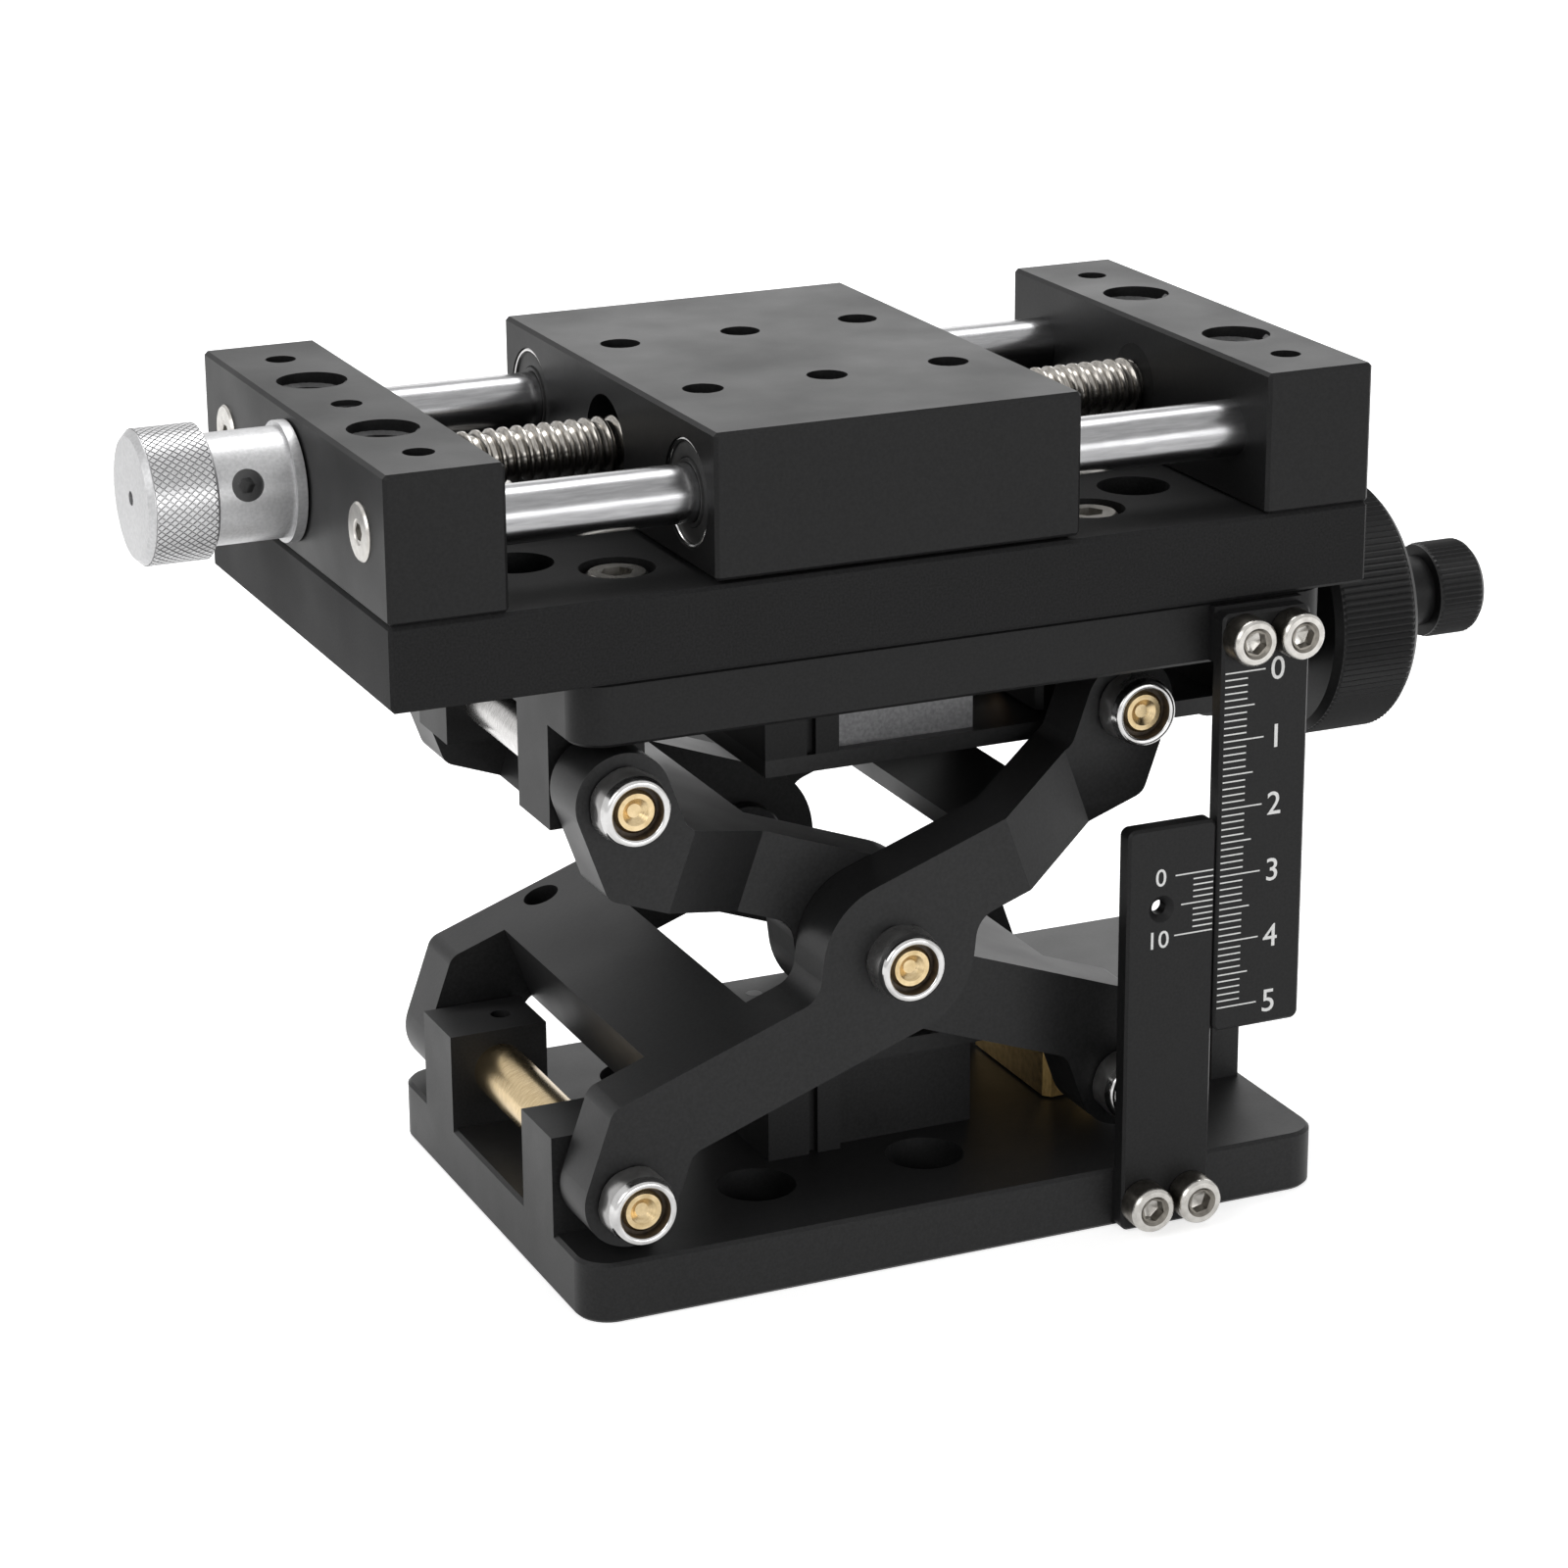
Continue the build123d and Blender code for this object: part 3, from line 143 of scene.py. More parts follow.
# Both arm frames are milled from thick plate and anodised like the base, with
# slightly more gloss on their long flat sides where the cutter ran.
arm_black = metal_surface(
    "arm_black", (0.01, 0.01, 0.0103), (0.017, 0.017, 0.0174), 0.0, (0.36, 0.46), 2200, 0.22,
    sheen=0.22,
)
dress(arm_black, "outer_arm_frame", "inner_arm_frame")

# Stainless lock nuts close the pivots. Each is a rounded hexagon, left as drawn, with
# a polished rolled collar, open in front so that the stud's end shows in a recess whose
# steel wall is coloured dark brown: painted shade, and a painted reflection of the brass.
# The nut body's steel is coloured darker than its collar: a painted reflection of the dark arms and
# surroundings in its flats.
nut_steel_dark_reflection = metal_surface(
    "nut_steel_dark_reflection", (0.3, 0.295, 0.29), (0.42, 0.415, 0.41), 0.9, (0.24, 0.34), 500, 0.05
)
collar_steel = metal_surface(
    "collar_steel", (0.46, 0.455, 0.45), (0.6, 0.595, 0.59), 1.0, (0.12, 0.22), 500, 0.05
)
# Painted shade for the nut's recess wall, brownish as a painted reflection of the brass stud end.
nut_recess_painted_shade = metal_surface(
    "nut_recess_painted_shade", (0.025, 0.018, 0.012), (0.07, 0.048, 0.028), 0.3, (0.35, 0.5), 1500, 0.3
)
painted_recess_index, collar_ring = 1, 2
recess_radius, recess_foot, collar_foot = 3.66, 3, 3.45


def turned(shape, profile, place, steps=48, material=0):
    """Spins a closed profile of (along, radius) or (along, radius, flats) round Z, then places it."""
    verts = [shape.verts.new((level[1] * mm, 0, level[0] * mm)) for level in profile]
    edges = [shape.edges.new((verts[i - 1], verts[i])) for i in range(len(verts))]
    bmesh.ops.spin(
        shape, geom=verts + edges, cent=(0, 0, 0), axis=(0, 0, 1), angle=2 * math.pi,
        steps=steps, use_merge=True,
    )
    made = set(verts)
    for edge in edges:
        made.update(edge.verts)
    front = set(made)
    while front:
        near = {e.other_vert(v) for v in front for e in v.link_edges} - made
        made |= near
        front = near
    flats = [level for level in profile if len(level) == 3]
    for vert in made:
        radius = math.hypot(vert.co.x, vert.co.y)
        for along, reach, across in flats:
            if abs(vert.co.z - along * mm) < 1e-6 and abs(radius - reach * mm) < 1e-6:
                angle = math.degrees(math.atan2(vert.co.y, vert.co.x))
                off = (angle + 30) % 60 - 30
                limit = across / 2 * mm / math.cos(math.radians(off))
                if limit < radius:
                    vert.co.x *= limit / radius
                    vert.co.y *= limit / radius
    for face in {f for v in made for f in v.link_faces}:
        face.material_index = material
    bmesh.ops.transform(shape, matrix=place, verts=list(made))
    return made


def finished(shape, name, body, materials, replaced=(), smooth=32):
    """Closes a shape as a piece of the object that rides on its body."""
    bmesh.ops.remove_doubles(shape, verts=shape.verts, dist=1e-7)
    bmesh.ops.dissolve_degenerate(shape, edges=shape.edges, dist=1e-8)
    bmesh.ops.recalc_face_normals(shape, faces=shape.faces)
    data = bpy.data.meshes.new(name)
    shape.to_mesh(data)
    shape.free()
    for material in materials:
        data.materials.append(material)
    data.shade_smooth()
    data.set_sharp_from_angle(angle=math.radians(smooth))
    piece = bpy.data.objects.new(name, data)
    bpy.context.scene.collection.objects.link(piece)
    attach(piece, body)
    if replaced:
        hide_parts(*replaced)
    return piece


fixed_x, sliding_x = -50.4, 30.857
middle_x, middle_z = -9.7715, 46
lower_z, upper_z = 17.2, 74.8
nut_profile = [
    (0, 3), (0, 5.02, 9.9), (0.35, 5.24, 9.98), (1.6, 5.24, 9.98), (2.4, 5.17, 9.98), (3, 5.05, 9.98),
    (3.5, 4.92, 9.96), (3.9, 4.82), (4.25, 4.78), (4.62, 4.69), (4.85, 4.53), (4.97, 4.32), (5, 4.12),
    (4.94, 3.88), (4.8, 3.7), (4.55, 3.6), (3.2, 3.58), (3.2, 3),
]
nut_places = {
    "lower_pivot_nuts": ("base", fixed_x, lower_z, 37.3),
    "upper_pivot_nuts": ("platform", fixed_x, upper_z, 37.3),
    "centre_pivot_nuts": ("outer_arms", middle_x, middle_z, 37.0),
    "lower_slide_nuts": ("lower_slider", sliding_x, lower_z, 27.7),
    "upper_slide_nuts": ("upper_slider", sliding_x, upper_z, 27.7),
}
for node, (body, x, z, face) in nut_places.items():
    nuts = bmesh.new()
    for side in (-1, 1):
        spot = Matrix.Translation((x * mm, side * face * mm, z * mm))
        lean = Matrix.Rotation(math.radians(-90 * side), 4, "X")
        twist = Matrix.Rotation(math.radians(14 + 0.7 * x + 0.3 * z), 4, "Z")
        turned(nuts, nut_profile, spot @ lean @ twist, 96)
    nuts.faces.ensure_lookup_table()
    for part in nuts.faces:
        middle = part.calc_center_median()
        reach = math.hypot(middle.x - x * mm, middle.z - z * mm)
        height = abs(middle.y) / mm - face
        # Faces on the recess wall get the painted shade.
        if reach < recess_radius * mm and height > recess_foot:
            part.material_index = painted_recess_index
        elif height > collar_foot:
            part.material_index = collar_ring
    steels = [nut_steel_dark_reflection, nut_recess_painted_shade, collar_steel]
    finished(nuts, node + "_turned", body, steels, (node,))

# The top plate is the base's twin turned over, with the bearing disc on its end. A block of
# bare aluminium beneath it carries the inner end of the lift screw. Its colour is darkened
# to a grey as painted shade, for the shadow the top plate casts over it.
# Painted shade: bare aluminium coloured dark grey for the shadow under the top plate.
aluminium_painted_shade = metal_surface(
    "aluminium_painted_shade", (0.1, 0.1, 0.103), (0.15, 0.15, 0.153), 0.85, (0.34, 0.44), 1800, 0.3
)
dress(milled_black, "top_plate", "bearing_disc", "upper_slide_block")
dress(aluminium_painted_shade, "screw_support")

# The lift screw has a rolled trapezoidal thread between two plain journals. It is
# plain steel, and its outer stub takes the lock knob.
rolled_steel = metal_surface(
    "rolled_steel", (0.24, 0.225, 0.205), (0.42, 0.4, 0.37), 1.0, (0.17, 0.28), 900, 0.15, (5, 1, 1)
)
along_x = Matrix.Rotation(math.radians(90), 4, "Y")
lift_axis_z = 76.5


def thread(shape, start, end, pitch, tooth, place, steps=28):
    """A right-hand thread as one helical skin, cut square and closed at both ends."""
    first = start - 2 * pitch
    turns = int(math.ceil((end - first) / pitch)) + 2
    verts = [shape.verts.new((radius * mm, 0, (first + along) * mm)) for along, radius in tooth]
    edges = [shape.edges.new(pair) for pair in zip(verts, verts[1:])]
    bmesh.ops.spin(
        shape, geom=verts + edges, cent=(0, 0, 0), axis=(0, 0, 1), dvec=(0, 0, pitch * mm / steps),
        angle=2 * math.pi * turns, steps=steps * turns,
    )
    bmesh.ops.remove_doubles(shape, verts=shape.verts, dist=1e-7)
    for height, lower in ((start, True), (end, False)):
        cut = bmesh.ops.bisect_plane(
            shape, geom=shape.verts[:] + shape.edges[:] + shape.faces[:],
            plane_co=(0, 0, height * mm), plane_no=(0, 0, 1), clear_inner=lower, clear_outer=not lower,
        )
        rim = [e for e in cut["geom_cut"] if isinstance(e, bmesh.types.BMEdge)]
        bmesh.ops.contextual_create(shape, geom=rim)
    bmesh.ops.transform(shape, matrix=place, verts=shape.verts)


lift_place = Matrix.Translation((0, 0, lift_axis_z * mm)) @ along_x
lift_tooth = [(0, 3.1), (0.5, 3.1), (0.85, 3.98), (1.4, 3.98), (1.75, 3.1), (2, 3.1)]
lift_bar = bmesh.new()
thread(lift_bar, 13.05, 52.05, 2, lift_tooth, lift_place)
turned(lift_bar, [(-8.9, 0), (-8.9, 2.6), (-8.5, 3), (13.1, 3), (13.1, 0)], lift_place)
turned(lift_bar, [(52, 0), (52, 3), (84.5, 3), (84.5, 2), (101.2, 2), (101.5, 1.7), (101.5, 0)], lift_place)
finished(lift_bar, "lift_screw_threaded", "lift_screw", [rolled_steel], ("lift_screw",))

# The handwheel is turned and anodised black. Its rim has a straight knurl, rolled
# in after turning, that stands as a band of fine ridges on the plain rim.
knurled_black = metal_surface(
    "knurled_black", (0.005, 0.005, 0.0052), (0.009, 0.009, 0.0093), 0.0, (0.34, 0.46), 1600, 0.25,
    sheen=0.17,
)


def straight_knurl(shape, start, end, root, crest, ridges, place):
    """A closed band of ridges along Z on a cylinder, with both ends bevelled."""
    bevel, wall, groove_rise = 0.45, 0.4, 0.15
    rings = []
    for along, grow in ((start, 0), (start + bevel, 1), (end - bevel, 1), (end, 0)):
        ring = bmesh.ops.create_circle(
            shape, segments=2 * ridges, radius=root * mm,
            matrix=Matrix.Translation((0, 0, along * mm)),
        )["verts"]
        for i, vert in enumerate(ring):
            reach = crest if i % 2 and grow else root + (crest - root) * groove_rise * grow
            vert.co.x *= reach / root
            vert.co.y *= reach / root
        rings.append(ring)
    for low, high in zip(rings, rings[1:]):
        near = {e for v in low for e in v.link_edges if e.other_vert(v) in low}
        far = {e for v in high for e in v.link_edges if e.other_vert(v) in high}
        bmesh.ops.bridge_loops(shape, edges=list(near | far))
    verts = [v for ring in rings for v in ring]
    inner = []
    for along in (start, end):
        ring = bmesh.ops.create_circle(
            shape, segments=2 * ridges, radius=(root - wall) * mm,
            matrix=Matrix.Translation((0, 0, along * mm)),
        )["verts"]
        inner.append(ring)
    for low, high in ((rings[0], inner[0]), (rings[-1], inner[1]), (inner[0], inner[1])):
        near = {e for v in low for e in v.link_edges if e.other_vert(v) in low}
        far = {e for v in high for e in v.link_edges if e.other_vert(v) in high}
        bmesh.ops.bridge_loops(shape, edges=list(near | far))
    bmesh.ops.transform(shape, matrix=place, verts=verts + inner[0] + inner[1])


dress(knurled_black, "handwheel", "lock_knob")
wheel_band = bmesh.new()
straight_knurl(wheel_band, 71.3, 83.5, 18.7, 19.1, 118, lift_place)
finished(wheel_band, "handwheel_knurl", "lift_screw", [knurled_black], (), 20)

# The lock knob is a small black thumb nut on the screw's outer stub. Its head has
# the same straight knurl as the wheel.
lock_band = bmesh.new()
straight_knurl(lock_band, 95.5, 102.7, 6.95, 7.25, 52, lift_place)
finished(lock_band, "lock_knob_knurl", "lock_knob", [knurled_black], (), 20)

# The slide plate and its two end blocks are milled and anodised as the base is,
# and stainless socket screws sit deep in their counterbores.
socket_steel = metal_surface(
    "socket_steel", (0.42, 0.405, 0.38), (0.56, 0.545, 0.515), 1.0, (0.2, 0.32), 800, 0.2
)
dress(milled_black, "left_end_block", "right_end_block")
dress(blasted_black, "slide_plate")
dress(socket_steel, "slide_plate_screws")
dress(blackened_steel, "end_block_screws", "rod_set_screws")

# Tapped holes show the first turns of their thread. Each is a coil on the wall of its hole
# that starts just below the rim, coloured several times lighter than the black block it is
# cut in, as painted highlight where its flanks catch the light.
# Painted highlight: a dark grey several times lighter than the black blocks around the coils.
thread_painted_highlight = metal_surface(
    "thread_painted_highlight", (0.05, 0.05, 0.051), (0.08, 0.08, 0.081), 0.0, (0.3, 0.4), 2000, 0.15
)
top_z = 123.7
block_xs = (-74.75, 53.75)


def tapped(shape, x, y, top, bore, pitch, turns):
    """The first turns of a thread inside a hole that opens upwards."""
    sunk = 0.4
    root, tip = bore + 0.04, bore - 0.42 * pitch
    section = [(0, root), (0.5 * pitch, tip), (0.92 * pitch, root)]
    verts = [shape.verts.new((radius * mm, 0, along * mm)) for along, radius in section]
    edges = [shape.edges.new((verts[i - 1], verts[i])) for i in range(3)]
    before = set(shape.verts) - set(verts)
    lid = shape.faces.new(verts)
    steps = 22
    bmesh.ops.spin(
        shape, geom=[*verts, *edges, lid], cent=(0, 0, 0), axis=(0, 0, 1),
        dvec=(0, 0, pitch * mm / steps), angle=2 * math.pi * turns, steps=int(steps * turns),
    )
    made = [v for v in shape.verts if v not in before]
    low = (top - sunk) * mm - pitch * (turns + 1) * mm
    bmesh.ops.transform(shape, matrix=Matrix.Translation((x * mm, y * mm, low)), verts=made)


for side, x in zip(("left", "right"), block_xs):
    holes = bmesh.new()
    for y in (-15, 15):
        tapped(holes, x, y, top_z, 4.9, 1.25, 4)
    for y in (-29, 29, 0)[: 3 if side == "left" else 2]:
        tapped(holes, x, y, top_z, 2.15, 0.8, 3)
    finished(holes, side + "_block_threads", "platform", [thread_painted_highlight], (), 50)

# The two guide rods are hard chromed and ground, and the bright caps over their
# left ends are let into the block's face.
chromed_rod = metal_surface(
    "chromed_rod", (0.26, 0.26, 0.265), (0.35, 0.35, 0.355), 1.0, (0.21, 0.28), 500, 0.03, (0.4, 4, 4)
)
rod_axis_z = 114
rod_ys = (-29, 29)
rods = bmesh.new()
caps = bmesh.new()
for y in rod_ys:
    rod_place = Matrix.Translation((0, y * mm, rod_axis_z * mm)) @ along_x
    turned(rods, [(-81, 0), (-81, 3.6), (-80.6, 4), (61.5, 4), (61.9, 3.6), (61.9, 0)], rod_place, 64)
    cap = [
        (-81, 0), (-81, 3.98), (-83.1, 3.98), (-83.4, 3.7), (-83.4, 1.75), (-83.25, 1.6),
        (-83.25, 1.27, 2.2), (-82.2, 1.27, 2.2), (-82, 0),
    ]
    turned(caps, cap, rod_place)
finished(rods, "guide_rods_ground", "platform", [chromed_rod], ("guide_rods",), 30)
finished(caps, "rod_end_caps_turned", "platform", [socket_steel], ("rod_end_caps",))

# The feed screw has the same kind of rolled thread as the lift screw, in bright
# steel, between journals that run in black polymer bushes in the end blocks.
bush_polymer = metal_surface(
    "bush_polymer", (0.005, 0.005, 0.005), (0.01, 0.01, 0.01), 0.0, (0.45, 0.6), 1800, 0.3,
    sheen=0.12,
)
dress(bush_polymer, "feed_bushes")
feed_place = Matrix.Translation((0, 0, rod_axis_z * mm)) @ along_x
feed_tooth = [
    (0, 3.25), (0.35, 3.3), (0.6, 3.75), (0.85, 3.98), (1.15, 3.98), (1.4, 3.75), (1.65, 3.3), (2, 3.25),
]
feed_bar = bmesh.new()
thread(feed_bar, -66.2, 45.2, 2, feed_tooth, feed_place)
turned(feed_bar, [(-95.4, 0), (-95.4, 3), (-66.1, 3), (-66.1, 0)], feed_place)
turned(feed_bar, [(45.1, 0), (45.1, 3), (61.6, 3), (62, 2.6), (62, 0)], feed_place)
finished(feed_bar, "feed_screw_threaded", "feed_screw", [rolled_steel], ("feed_screw",))

# The knob is turned aluminium, blasted and clear anodised. Its head has a diamond
# knurl, and a black set screw in the hub clamps it to the feed screw.
knurl_aluminium = metal_surface(
    "knurl_aluminium", (0.48, 0.48, 0.485), (0.6, 0.6, 0.605), 0.75, (0.26, 0.36), 1500, 0.2
)
# A darker copy of the knurl's aluminium for its groove flanks: painted shade in the grooves.
knurl_groove_painted_shade = metal_surface(
    "knurl_groove_painted_shade", (0.2, 0.2, 0.203), (0.3, 0.3, 0.303), 0.75, (0.4, 0.55), 1500, 0.2
)
knob_aluminium = metal_surface(
    "knob_aluminium", (0.42, 0.42, 0.425), (0.52, 0.52, 0.525), 0.75, (0.34, 0.44), 2400, 0.35
)
dress(knob_aluminium, "feed_knob", "knob_collar")
set_screw_black = metal_surface(
    "set_screw_black", (0.006, 0.006, 0.0064), (0.014, 0.014, 0.0145), 0.0, (0.16, 0.28), 1500, 0.15,
    sheen=0.5,
)
dress(set_screw_black, "knob_set_screw")
knurl_start, knurl_end, knurl_root = -104.3, -95.9, 9.0
cells_round, cells_along = 56, 7
groove_width, groove_depth, knurl_wall = 0.13, 0.24, 0.4
knurl = bmesh.new()
side_line = [
    knurl.verts.new((knurl_root * mm, 0, (knurl_start + (knurl_end - knurl_start) * i / cells_along) * mm))
    for i in range(cells_along + 1)
]
strip = [knurl.edges.new(pair) for pair in zip(side_line, side_line[1:])]
bmesh.ops.spin(
    knurl, geom=side_line + strip, cent=(0, 0, 0), axis=(0, 0, 1), angle=2 * math.pi,
    steps=cells_round, use_merge=True,
)
grid_lines = [e for e in knurl.edges if len(e.link_faces) == 2]
bmesh.ops.poke(knurl, faces=knurl.faces[:])
for vert in knurl.verts:
    stretch = knurl_root * mm / math.hypot(vert.co.x, vert.co.y)
    vert.co.x *= stretch
    vert.co.y *= stretch
bmesh.ops.dissolve_edges(knurl, edges=[e for e in grid_lines if e.is_valid], use_verts=False)
bmesh.ops.recalc_face_normals(knurl, faces=knurl.faces)
outward = knurl.faces[0].normal.dot(Vector((*knurl.faces[0].calc_center_median().xy, 0)))
if outward < 0:
    bmesh.ops.reverse_faces(knurl, faces=knurl.faces)
diamonds = knurl.faces[:]
flanks = bmesh.ops.inset_individual(
    knurl, faces=diamonds, thickness=groove_width * mm, depth=groove_depth * mm
)
# The inset flanks of each diamond get the painted shade.
painted_groove_index = 1
for part in flanks["faces"]:
    part.material_index = painted_groove_index
border = [e for e in knurl.edges if e.is_boundary]
rims = bmesh.ops.extrude_edge_only(knurl, edges=border)["geom"]
rim_verts = [v for v in rims if isinstance(v, bmesh.types.BMVert)]
for vert in rim_verts:
    vert.co.x *= (knurl_root - knurl_wall) / knurl_root
    vert.co.y *= (knurl_root - knurl_wall) / knurl_root
inner_rims = [e for e in rims if isinstance(e, bmesh.types.BMEdge) and e.is_boundary]
bmesh.ops.bridge_loops(knurl, edges=inner_rims)
bmesh.ops.transform(knurl, matrix=feed_place, verts=knurl.verts)
surfaces = [knurl_aluminium, knurl_groove_painted_shade]
finished(knurl, "feed_knob_knurl", "feed_screw", surfaces, (), 20)

# The carriage is a black block that runs on four linear bushings. Six tapped
# holes in its top take whatever it carries.
dress(milled_black, "carriage")
carriage_top = 124.3
carriage_threads = bmesh.new()
for x in (-29, -10.5, 8):
    for y in (-15, 15):
        tapped(carriage_threads, x, y, carriage_top, 2.85, 1, 4)
finished(carriage_threads, "carriage_threads", "carriage", [thread_painted_highlight], (), 50)

# Each linear bushing is a steel sleeve with a black wiper seal in its end. Only
# the sleeve's bright edge shows, as a thin ring round the seal.
seal_rubber = metal_surface(
    "seal_rubber", (0.008, 0.008, 0.008), (0.018, 0.018, 0.018), 0.0, (0.5, 0.65), 1200, 0.4
)
bushings = bmesh.new()
for y in rod_ys:
    for outer_x, inner_x in ((-37.1, -13.1), (16.1, -7.9)):
        facing = 1 if outer_x > inner_x else -1
        sleeve = [
            (inner_x, 4.1), (inner_x, 7.5), (outer_x, 7.5), (outer_x + 0.2 * facing, 7.42),
            (outer_x + 0.27 * facing, 7.22), (outer_x + 0.2 * facing, 7.0), (outer_x, 6.92),
            (outer_x - 0.4 * facing, 6.9), (outer_x - 0.4 * facing, 4.1),
        ]
        wiper = [
            (outer_x - 1.2 * facing, 4.06), (outer_x - 1.2 * facing, 6.95), (outer_x - 0.25 * facing, 6.9),
            (outer_x - 0.1 * facing, 6.6), (outer_x - 0.12 * facing, 4.9), (outer_x - 0.3 * facing, 4.7),
            (outer_x - 0.3 * facing, 4.06),
        ]
        lip = [
            (outer_x - 0.32 * facing, 4.08), (outer_x - 0.32 * facing, 4.68),
            (outer_x + 0.1 * facing, 4.62), (outer_x + 0.12 * facing, 4.4), (outer_x + 0.02 * facing, 4.08),
        ]
        rod_place = Matrix.Translation((0, y * mm, rod_axis_z * mm)) @ along_x
        turned(bushings, sleeve, rod_place, 48, 0)
        turned(bushings, wiper, rod_place, 48, 1)
        turned(bushings, lip, rod_place, 48, 1)
finished(
    bushings, "linear_bushings_sealed", "carriage", [collar_steel, seal_rubber],
    ("linear_bushings",), 30,
)

# The scale plate hangs from the top plate and the vernier plate stands on the
# base. Their ticks and figures are cut shallow and filled with white.
gauge_black = metal_surface(
    "gauge_black", (0.006, 0.006, 0.0062), (0.011, 0.011, 0.0113), 0.0, (0.36, 0.46), 2600, 0.2,
    sheen=0.18,
)
filled_white = metal_surface(
    "filled_white", (0.72, 0.72, 0.71), (0.84, 0.84, 0.83), 0.0, (0.45, 0.6), 2500, 0.3
)
dress(gauge_black, "scale_plate", "vernier_plate")
plate_front = -42.0
tick_width = 0.2


def ruled(shape, left, right, z):
    """One tick from left to right at a height, lying on the plate's front."""
    middle = Matrix.Translation(((left + right) / 2 * mm, (plate_front - 0.004) * mm, z * mm))
    size = Matrix.Diagonal(((right - left) * mm, 0.03 * mm, tick_width * mm, 1))
    bmesh.ops.create_cube(shape, size=1, matrix=middle @ size)


def figure(text, x, z, tall):
    """A figure with its middle at x and z on the plate's front, as a mesh in bmesh."""
    letters = bpy.data.curves.new("figure_" + text, "FONT")
    letters.body = text
    letters.size = 1
    letters.align_x = "CENTER"
    letters.align_y = "CENTER"
    letters.resolution_u = 4
    letters.offset = 0.004
    holder = bpy.data.objects.new("figure_" + text, letters)
    bpy.context.scene.collection.objects.link(holder)
    bpy.context.view_layer.update()
    flat = bpy.data.meshes.new_from_object(holder.evaluated_get(bpy.context.evaluated_depsgraph_get()))
    bpy.data.objects.remove(holder)
    shape = bmesh.new()
    shape.from_mesh(flat)
    bpy.data.meshes.remove(flat)
    bmesh.ops.remove_doubles(shape, verts=shape.verts, dist=1e-5)
    ups = [v.co.y for v in shape.verts]
    acrosses = [v.co.x for v in shape.verts]
    centre = Vector((-(min(acrosses) + max(acrosses)) / 2, -(min(ups) + max(ups)) / 2, 0))
    bmesh.ops.translate(shape, vec=centre, verts=shape.verts)
    scale = tall * mm / (max(ups) - min(ups))
    place = Matrix.Translation((x * mm, (plate_front + 0.01) * mm, z * mm))
    lean = Matrix.Rotation(math.radians(90), 4, "X")
    bmesh.ops.transform(shape, matrix=place @ lean @ Matrix.Scale(scale, 4), verts=shape.verts)
    raised = bmesh.ops.extrude_face_region(shape, geom=shape.faces[:])["geom"]
    bmesh.ops.translate(
        shape, vec=(0, -0.03 * mm, 0), verts=[v for v in raised if isinstance(v, bmesh.types.BMVert)]
    )
    return shape


scale_left, scale_zero = 37.5, 82.4
scale_ticks = bmesh.new()
for step in range(51):
    length = 6.4 if step % 10 == 0 else 4.8 if step % 5 == 0 else 3.6
    ruled(scale_ticks, scale_left + 0.5, scale_left + 0.5 + length, scale_zero - step)
finished(scale_ticks, "scale_ticks", "platform", [filled_white])
for number in range(6):
    digits = figure(str(number), scale_left + 8.9, scale_zero - 10 * number - 0.1, 3.4)
    finished(digits, f"scale_figure_{number}", "platform", [filled_white])

# The vernier has ten parts that span nine millimetres, read against the scale's
# edge beside it.
vernier_right, vernier_zero = 37.3, 53.7
vernier_ticks = bmesh.new()
for step in range(11):
    start = 30.8 if step in (0, 10) else 31.8 if step == 5 else 33.7
    ruled(vernier_ticks, start, vernier_right - 0.42, vernier_zero - 0.9 * step)
finished(vernier_ticks, "vernier_ticks", "base", [filled_white])
for text, z in (("0", vernier_zero), ("10", vernier_zero - 9.3)):
    digits = figure(text, 28.5, z, 2.6)
    finished(digits, "vernier_figure_" + text, "base", [filled_white])

# Stainless socket screws hold the two gauge plates. Their fronts are polished. The sides
# of their heads and the walls of their sockets get a darker, brownish, slightly rougher copy
# of the steel: painted shade in the sockets and a painted dark reflection on the head sides.
head_profile = [
    (-9.9, 0), (-9.9, 1.6), (-9.5, 2), (0.02, 2), (0.02, 3.3), (0.12, 3.4), (3.3, 3.4), (3.75, 3.22),
    (3.97, 2.95), (4, 2.6), (4, 2.25), (3.62, 1.84), (3.6, 1.74, 3), (1.9, 1.74, 3), (1.5, 0),
]
# Painted shade and painted dark reflection for the screw heads' sides and socket walls.
screw_steel_painted_shade = metal_surface(
    "screw_steel_painted_shade", (0.13, 0.12, 0.105), (0.22, 0.205, 0.18), 1.0, (0.24, 0.38), 800, 0.15
)
painted_shade_face = 1
side_inner, side_outer, side_top = 3.2, 3.5, 3.4
socket_radius, socket_floor = 2.1, 1.95
for node, body, x, z in (
    ("scale_screws", "platform", 44.5, 87.5), ("vernier_screws", "base", 30.3, 4.5),
):
    screws = bmesh.new()
    for side, twist in ((-3.8, 12), (3.8, 41)):
        spot = Matrix.Translation(((x + side) * mm, plate_front * mm, z * mm))
        lean = Matrix.Rotation(math.radians(90), 4, "X") @ Matrix.Rotation(math.radians(twist), 4, "Z")
        turned(screws, head_profile, spot @ lean)
        for part in screws.faces:
            middle = part.calc_center_median()
            reach = math.hypot(middle.x - (x + side) * mm, middle.z - z * mm)
            height = plate_front - middle.y / mm
            on_side = side_inner * mm < reach < side_outer * mm and height < side_top
            in_socket = reach < socket_radius * mm and height > socket_floor
            if on_side or in_socket:
                part.material_index = painted_shade_face
    finished(screws, node + "_turned", body, [socket_steel, screw_steel_painted_shade], (node,))

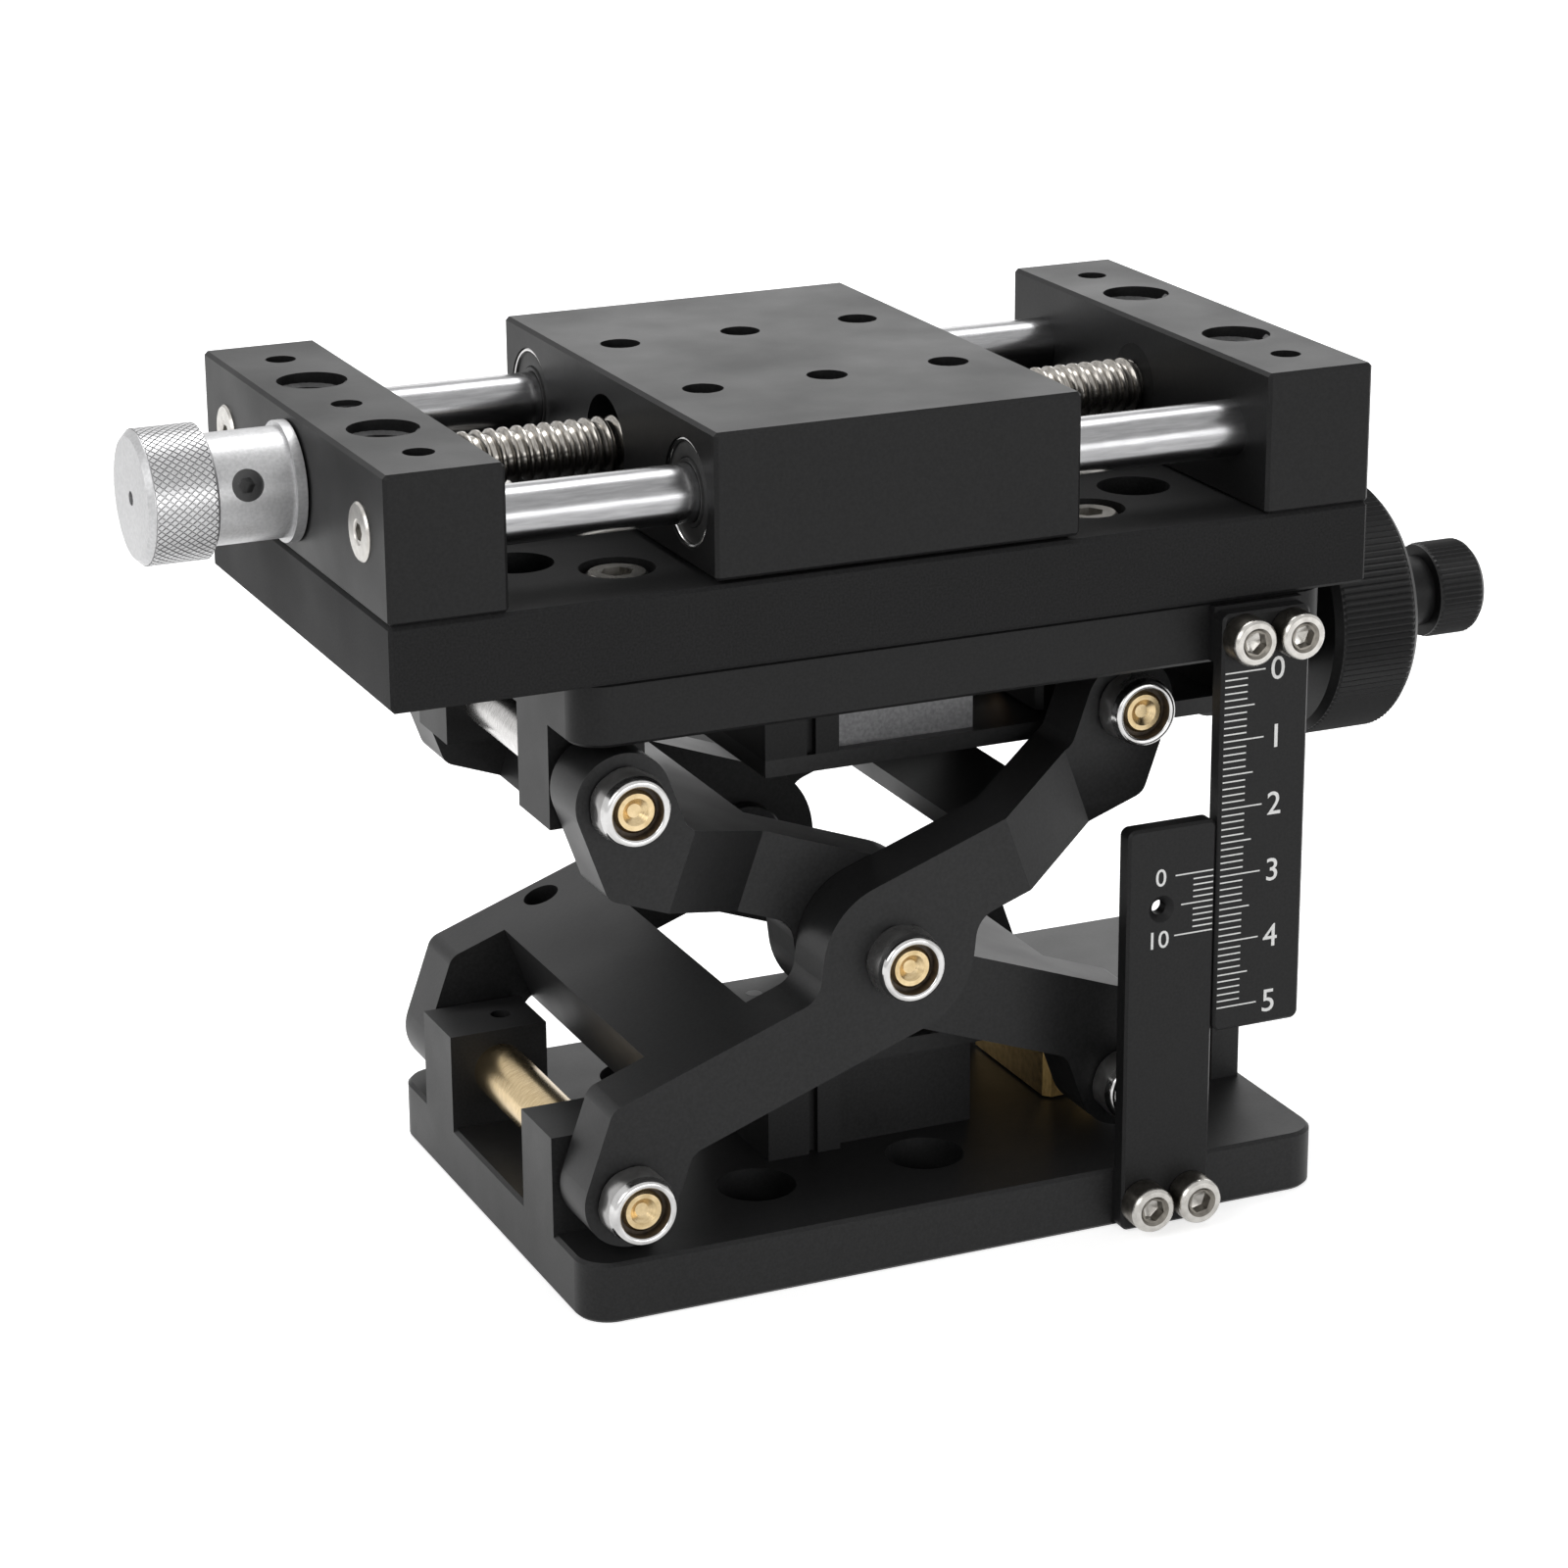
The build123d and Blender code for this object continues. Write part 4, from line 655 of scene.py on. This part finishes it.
# Plain white table that the stage stands on. It goes to pure white where the
# camera looks at it, and keeps a soft shadow.
table = bmesh.new()
bmesh.ops.create_grid(table, x_segments=1, y_segments=1, size=6)
table_data = bpy.data.meshes.new("table")
table.to_mesh(table_data)
table.free()
table_top = bpy.data.objects.new("table", table_data)
bpy.context.scene.collection.objects.link(table_top)


def white_rays(nodes, links):
    """How much a ray ends in the white background: seen straight, through glass or reflected."""
    path = nodes.new("ShaderNodeLightPath")
    straight = nodes.new("ShaderNodeMath")
    straight.operation = "MAXIMUM"
    links.new(path.outputs["Is Camera Ray"], straight.inputs[0])
    links.new(path.outputs["Is Transmission Ray"], straight.inputs[1])
    seen = nodes.new("ShaderNodeMath")
    seen.operation = "MAXIMUM"
    links.new(straight.outputs["Value"], seen.inputs[0])
    links.new(path.outputs["Is Glossy Ray"], seen.inputs[1])
    return seen


table_white = bpy.data.materials.new("table_white")
table_white.use_nodes = True
nodes, links = table_white.node_tree.nodes, table_white.node_tree.links
shader = nodes["Principled BSDF"]
shader.inputs["Base Color"].default_value = (0.8, 0.8, 0.8, 1)
shader.inputs["Roughness"].default_value = 0.9
shader.inputs["Emission Color"].default_value = (1, 1, 1, 1)
seen = white_rays(nodes, links)
glow = nodes.new("ShaderNodeMath")
glow.operation = "MULTIPLY"
glow.inputs[1].default_value = 0.7
links.new(seen.outputs["Value"], glow.inputs[0])
links.new(glow.outputs["Value"], shader.inputs["Emission Strength"])
table_data.materials.append(table_white)

# Studio light: a pale room, large soft lamps high on the left and above, a weak
# strip in front and a low soft lamp behind on the right that skims the top faces.
room = bpy.data.worlds.new("room")
bpy.context.scene.world = room
room.use_nodes = True
nodes, links = room.node_tree.nodes, room.node_tree.links
walls = nodes["Background"]
walls.inputs["Color"].default_value = (1, 1, 1, 1)
seen = white_rays(nodes, links)
shown = nodes.new("ShaderNodeMapRange")
shown.inputs["To Min"].default_value = 0.3
shown.inputs["To Max"].default_value = 1.0
links.new(seen.outputs["Value"], shown.inputs["Value"])
links.new(shown.outputs["Result"], walls.inputs["Strength"])


def lamp(name, place, target, size, watts):
    """One soft rectangular lamp at a place, turned towards a target."""
    light = bpy.data.lights.new(name, "AREA")
    light.shape = "RECTANGLE"
    light.size, light.size_y = size
    light.energy = watts
    holder = bpy.data.objects.new(name, light)
    bpy.context.scene.collection.objects.link(holder)
    holder.location = place
    holder.rotation_euler = (Vector(target) - Vector(place)).to_track_quat("-Z", "Y").to_euler()


lamp("left_softbox", (-0.75, -0.3, 0.55), (0, 0, 0.06), (0.7, 0.5), 2.6)
lamp("top_softbox", (0.1, 0.35, 0.95), (0, 0, 0.08), (0.9, 0.4), 6)
lamp("front_strip", (0.2, -0.95, 0.22), (0, 0, 0.04), (0.9, 0.3), 2.6)
lamp("back_softbox", (0.62, 0.78, 0.42), (0, 0, 0.12), (0.9, 0.4), 1.2)

# Camera at the photograph's angle, in front of the left end and above it. Its place,
# turn and lens come from the plates' corners in the photograph.
eye = bpy.data.cameras.new("camera")
eye.sensor_width = 36
eye.lens = 100.052
eye.clip_start = 0.01
eye.clip_end = 20
camera = bpy.data.objects.new("camera", eye)
bpy.context.scene.collection.objects.link(camera)
camera.location = (-0.25265, -0.54705, 0.26294)
camera.rotation_euler = (math.radians(71.2942), math.radians(0.3918), math.radians(-23.9855))
bpy.context.scene.camera = camera
bpy.context.scene.view_settings.view_transform = "Standard"
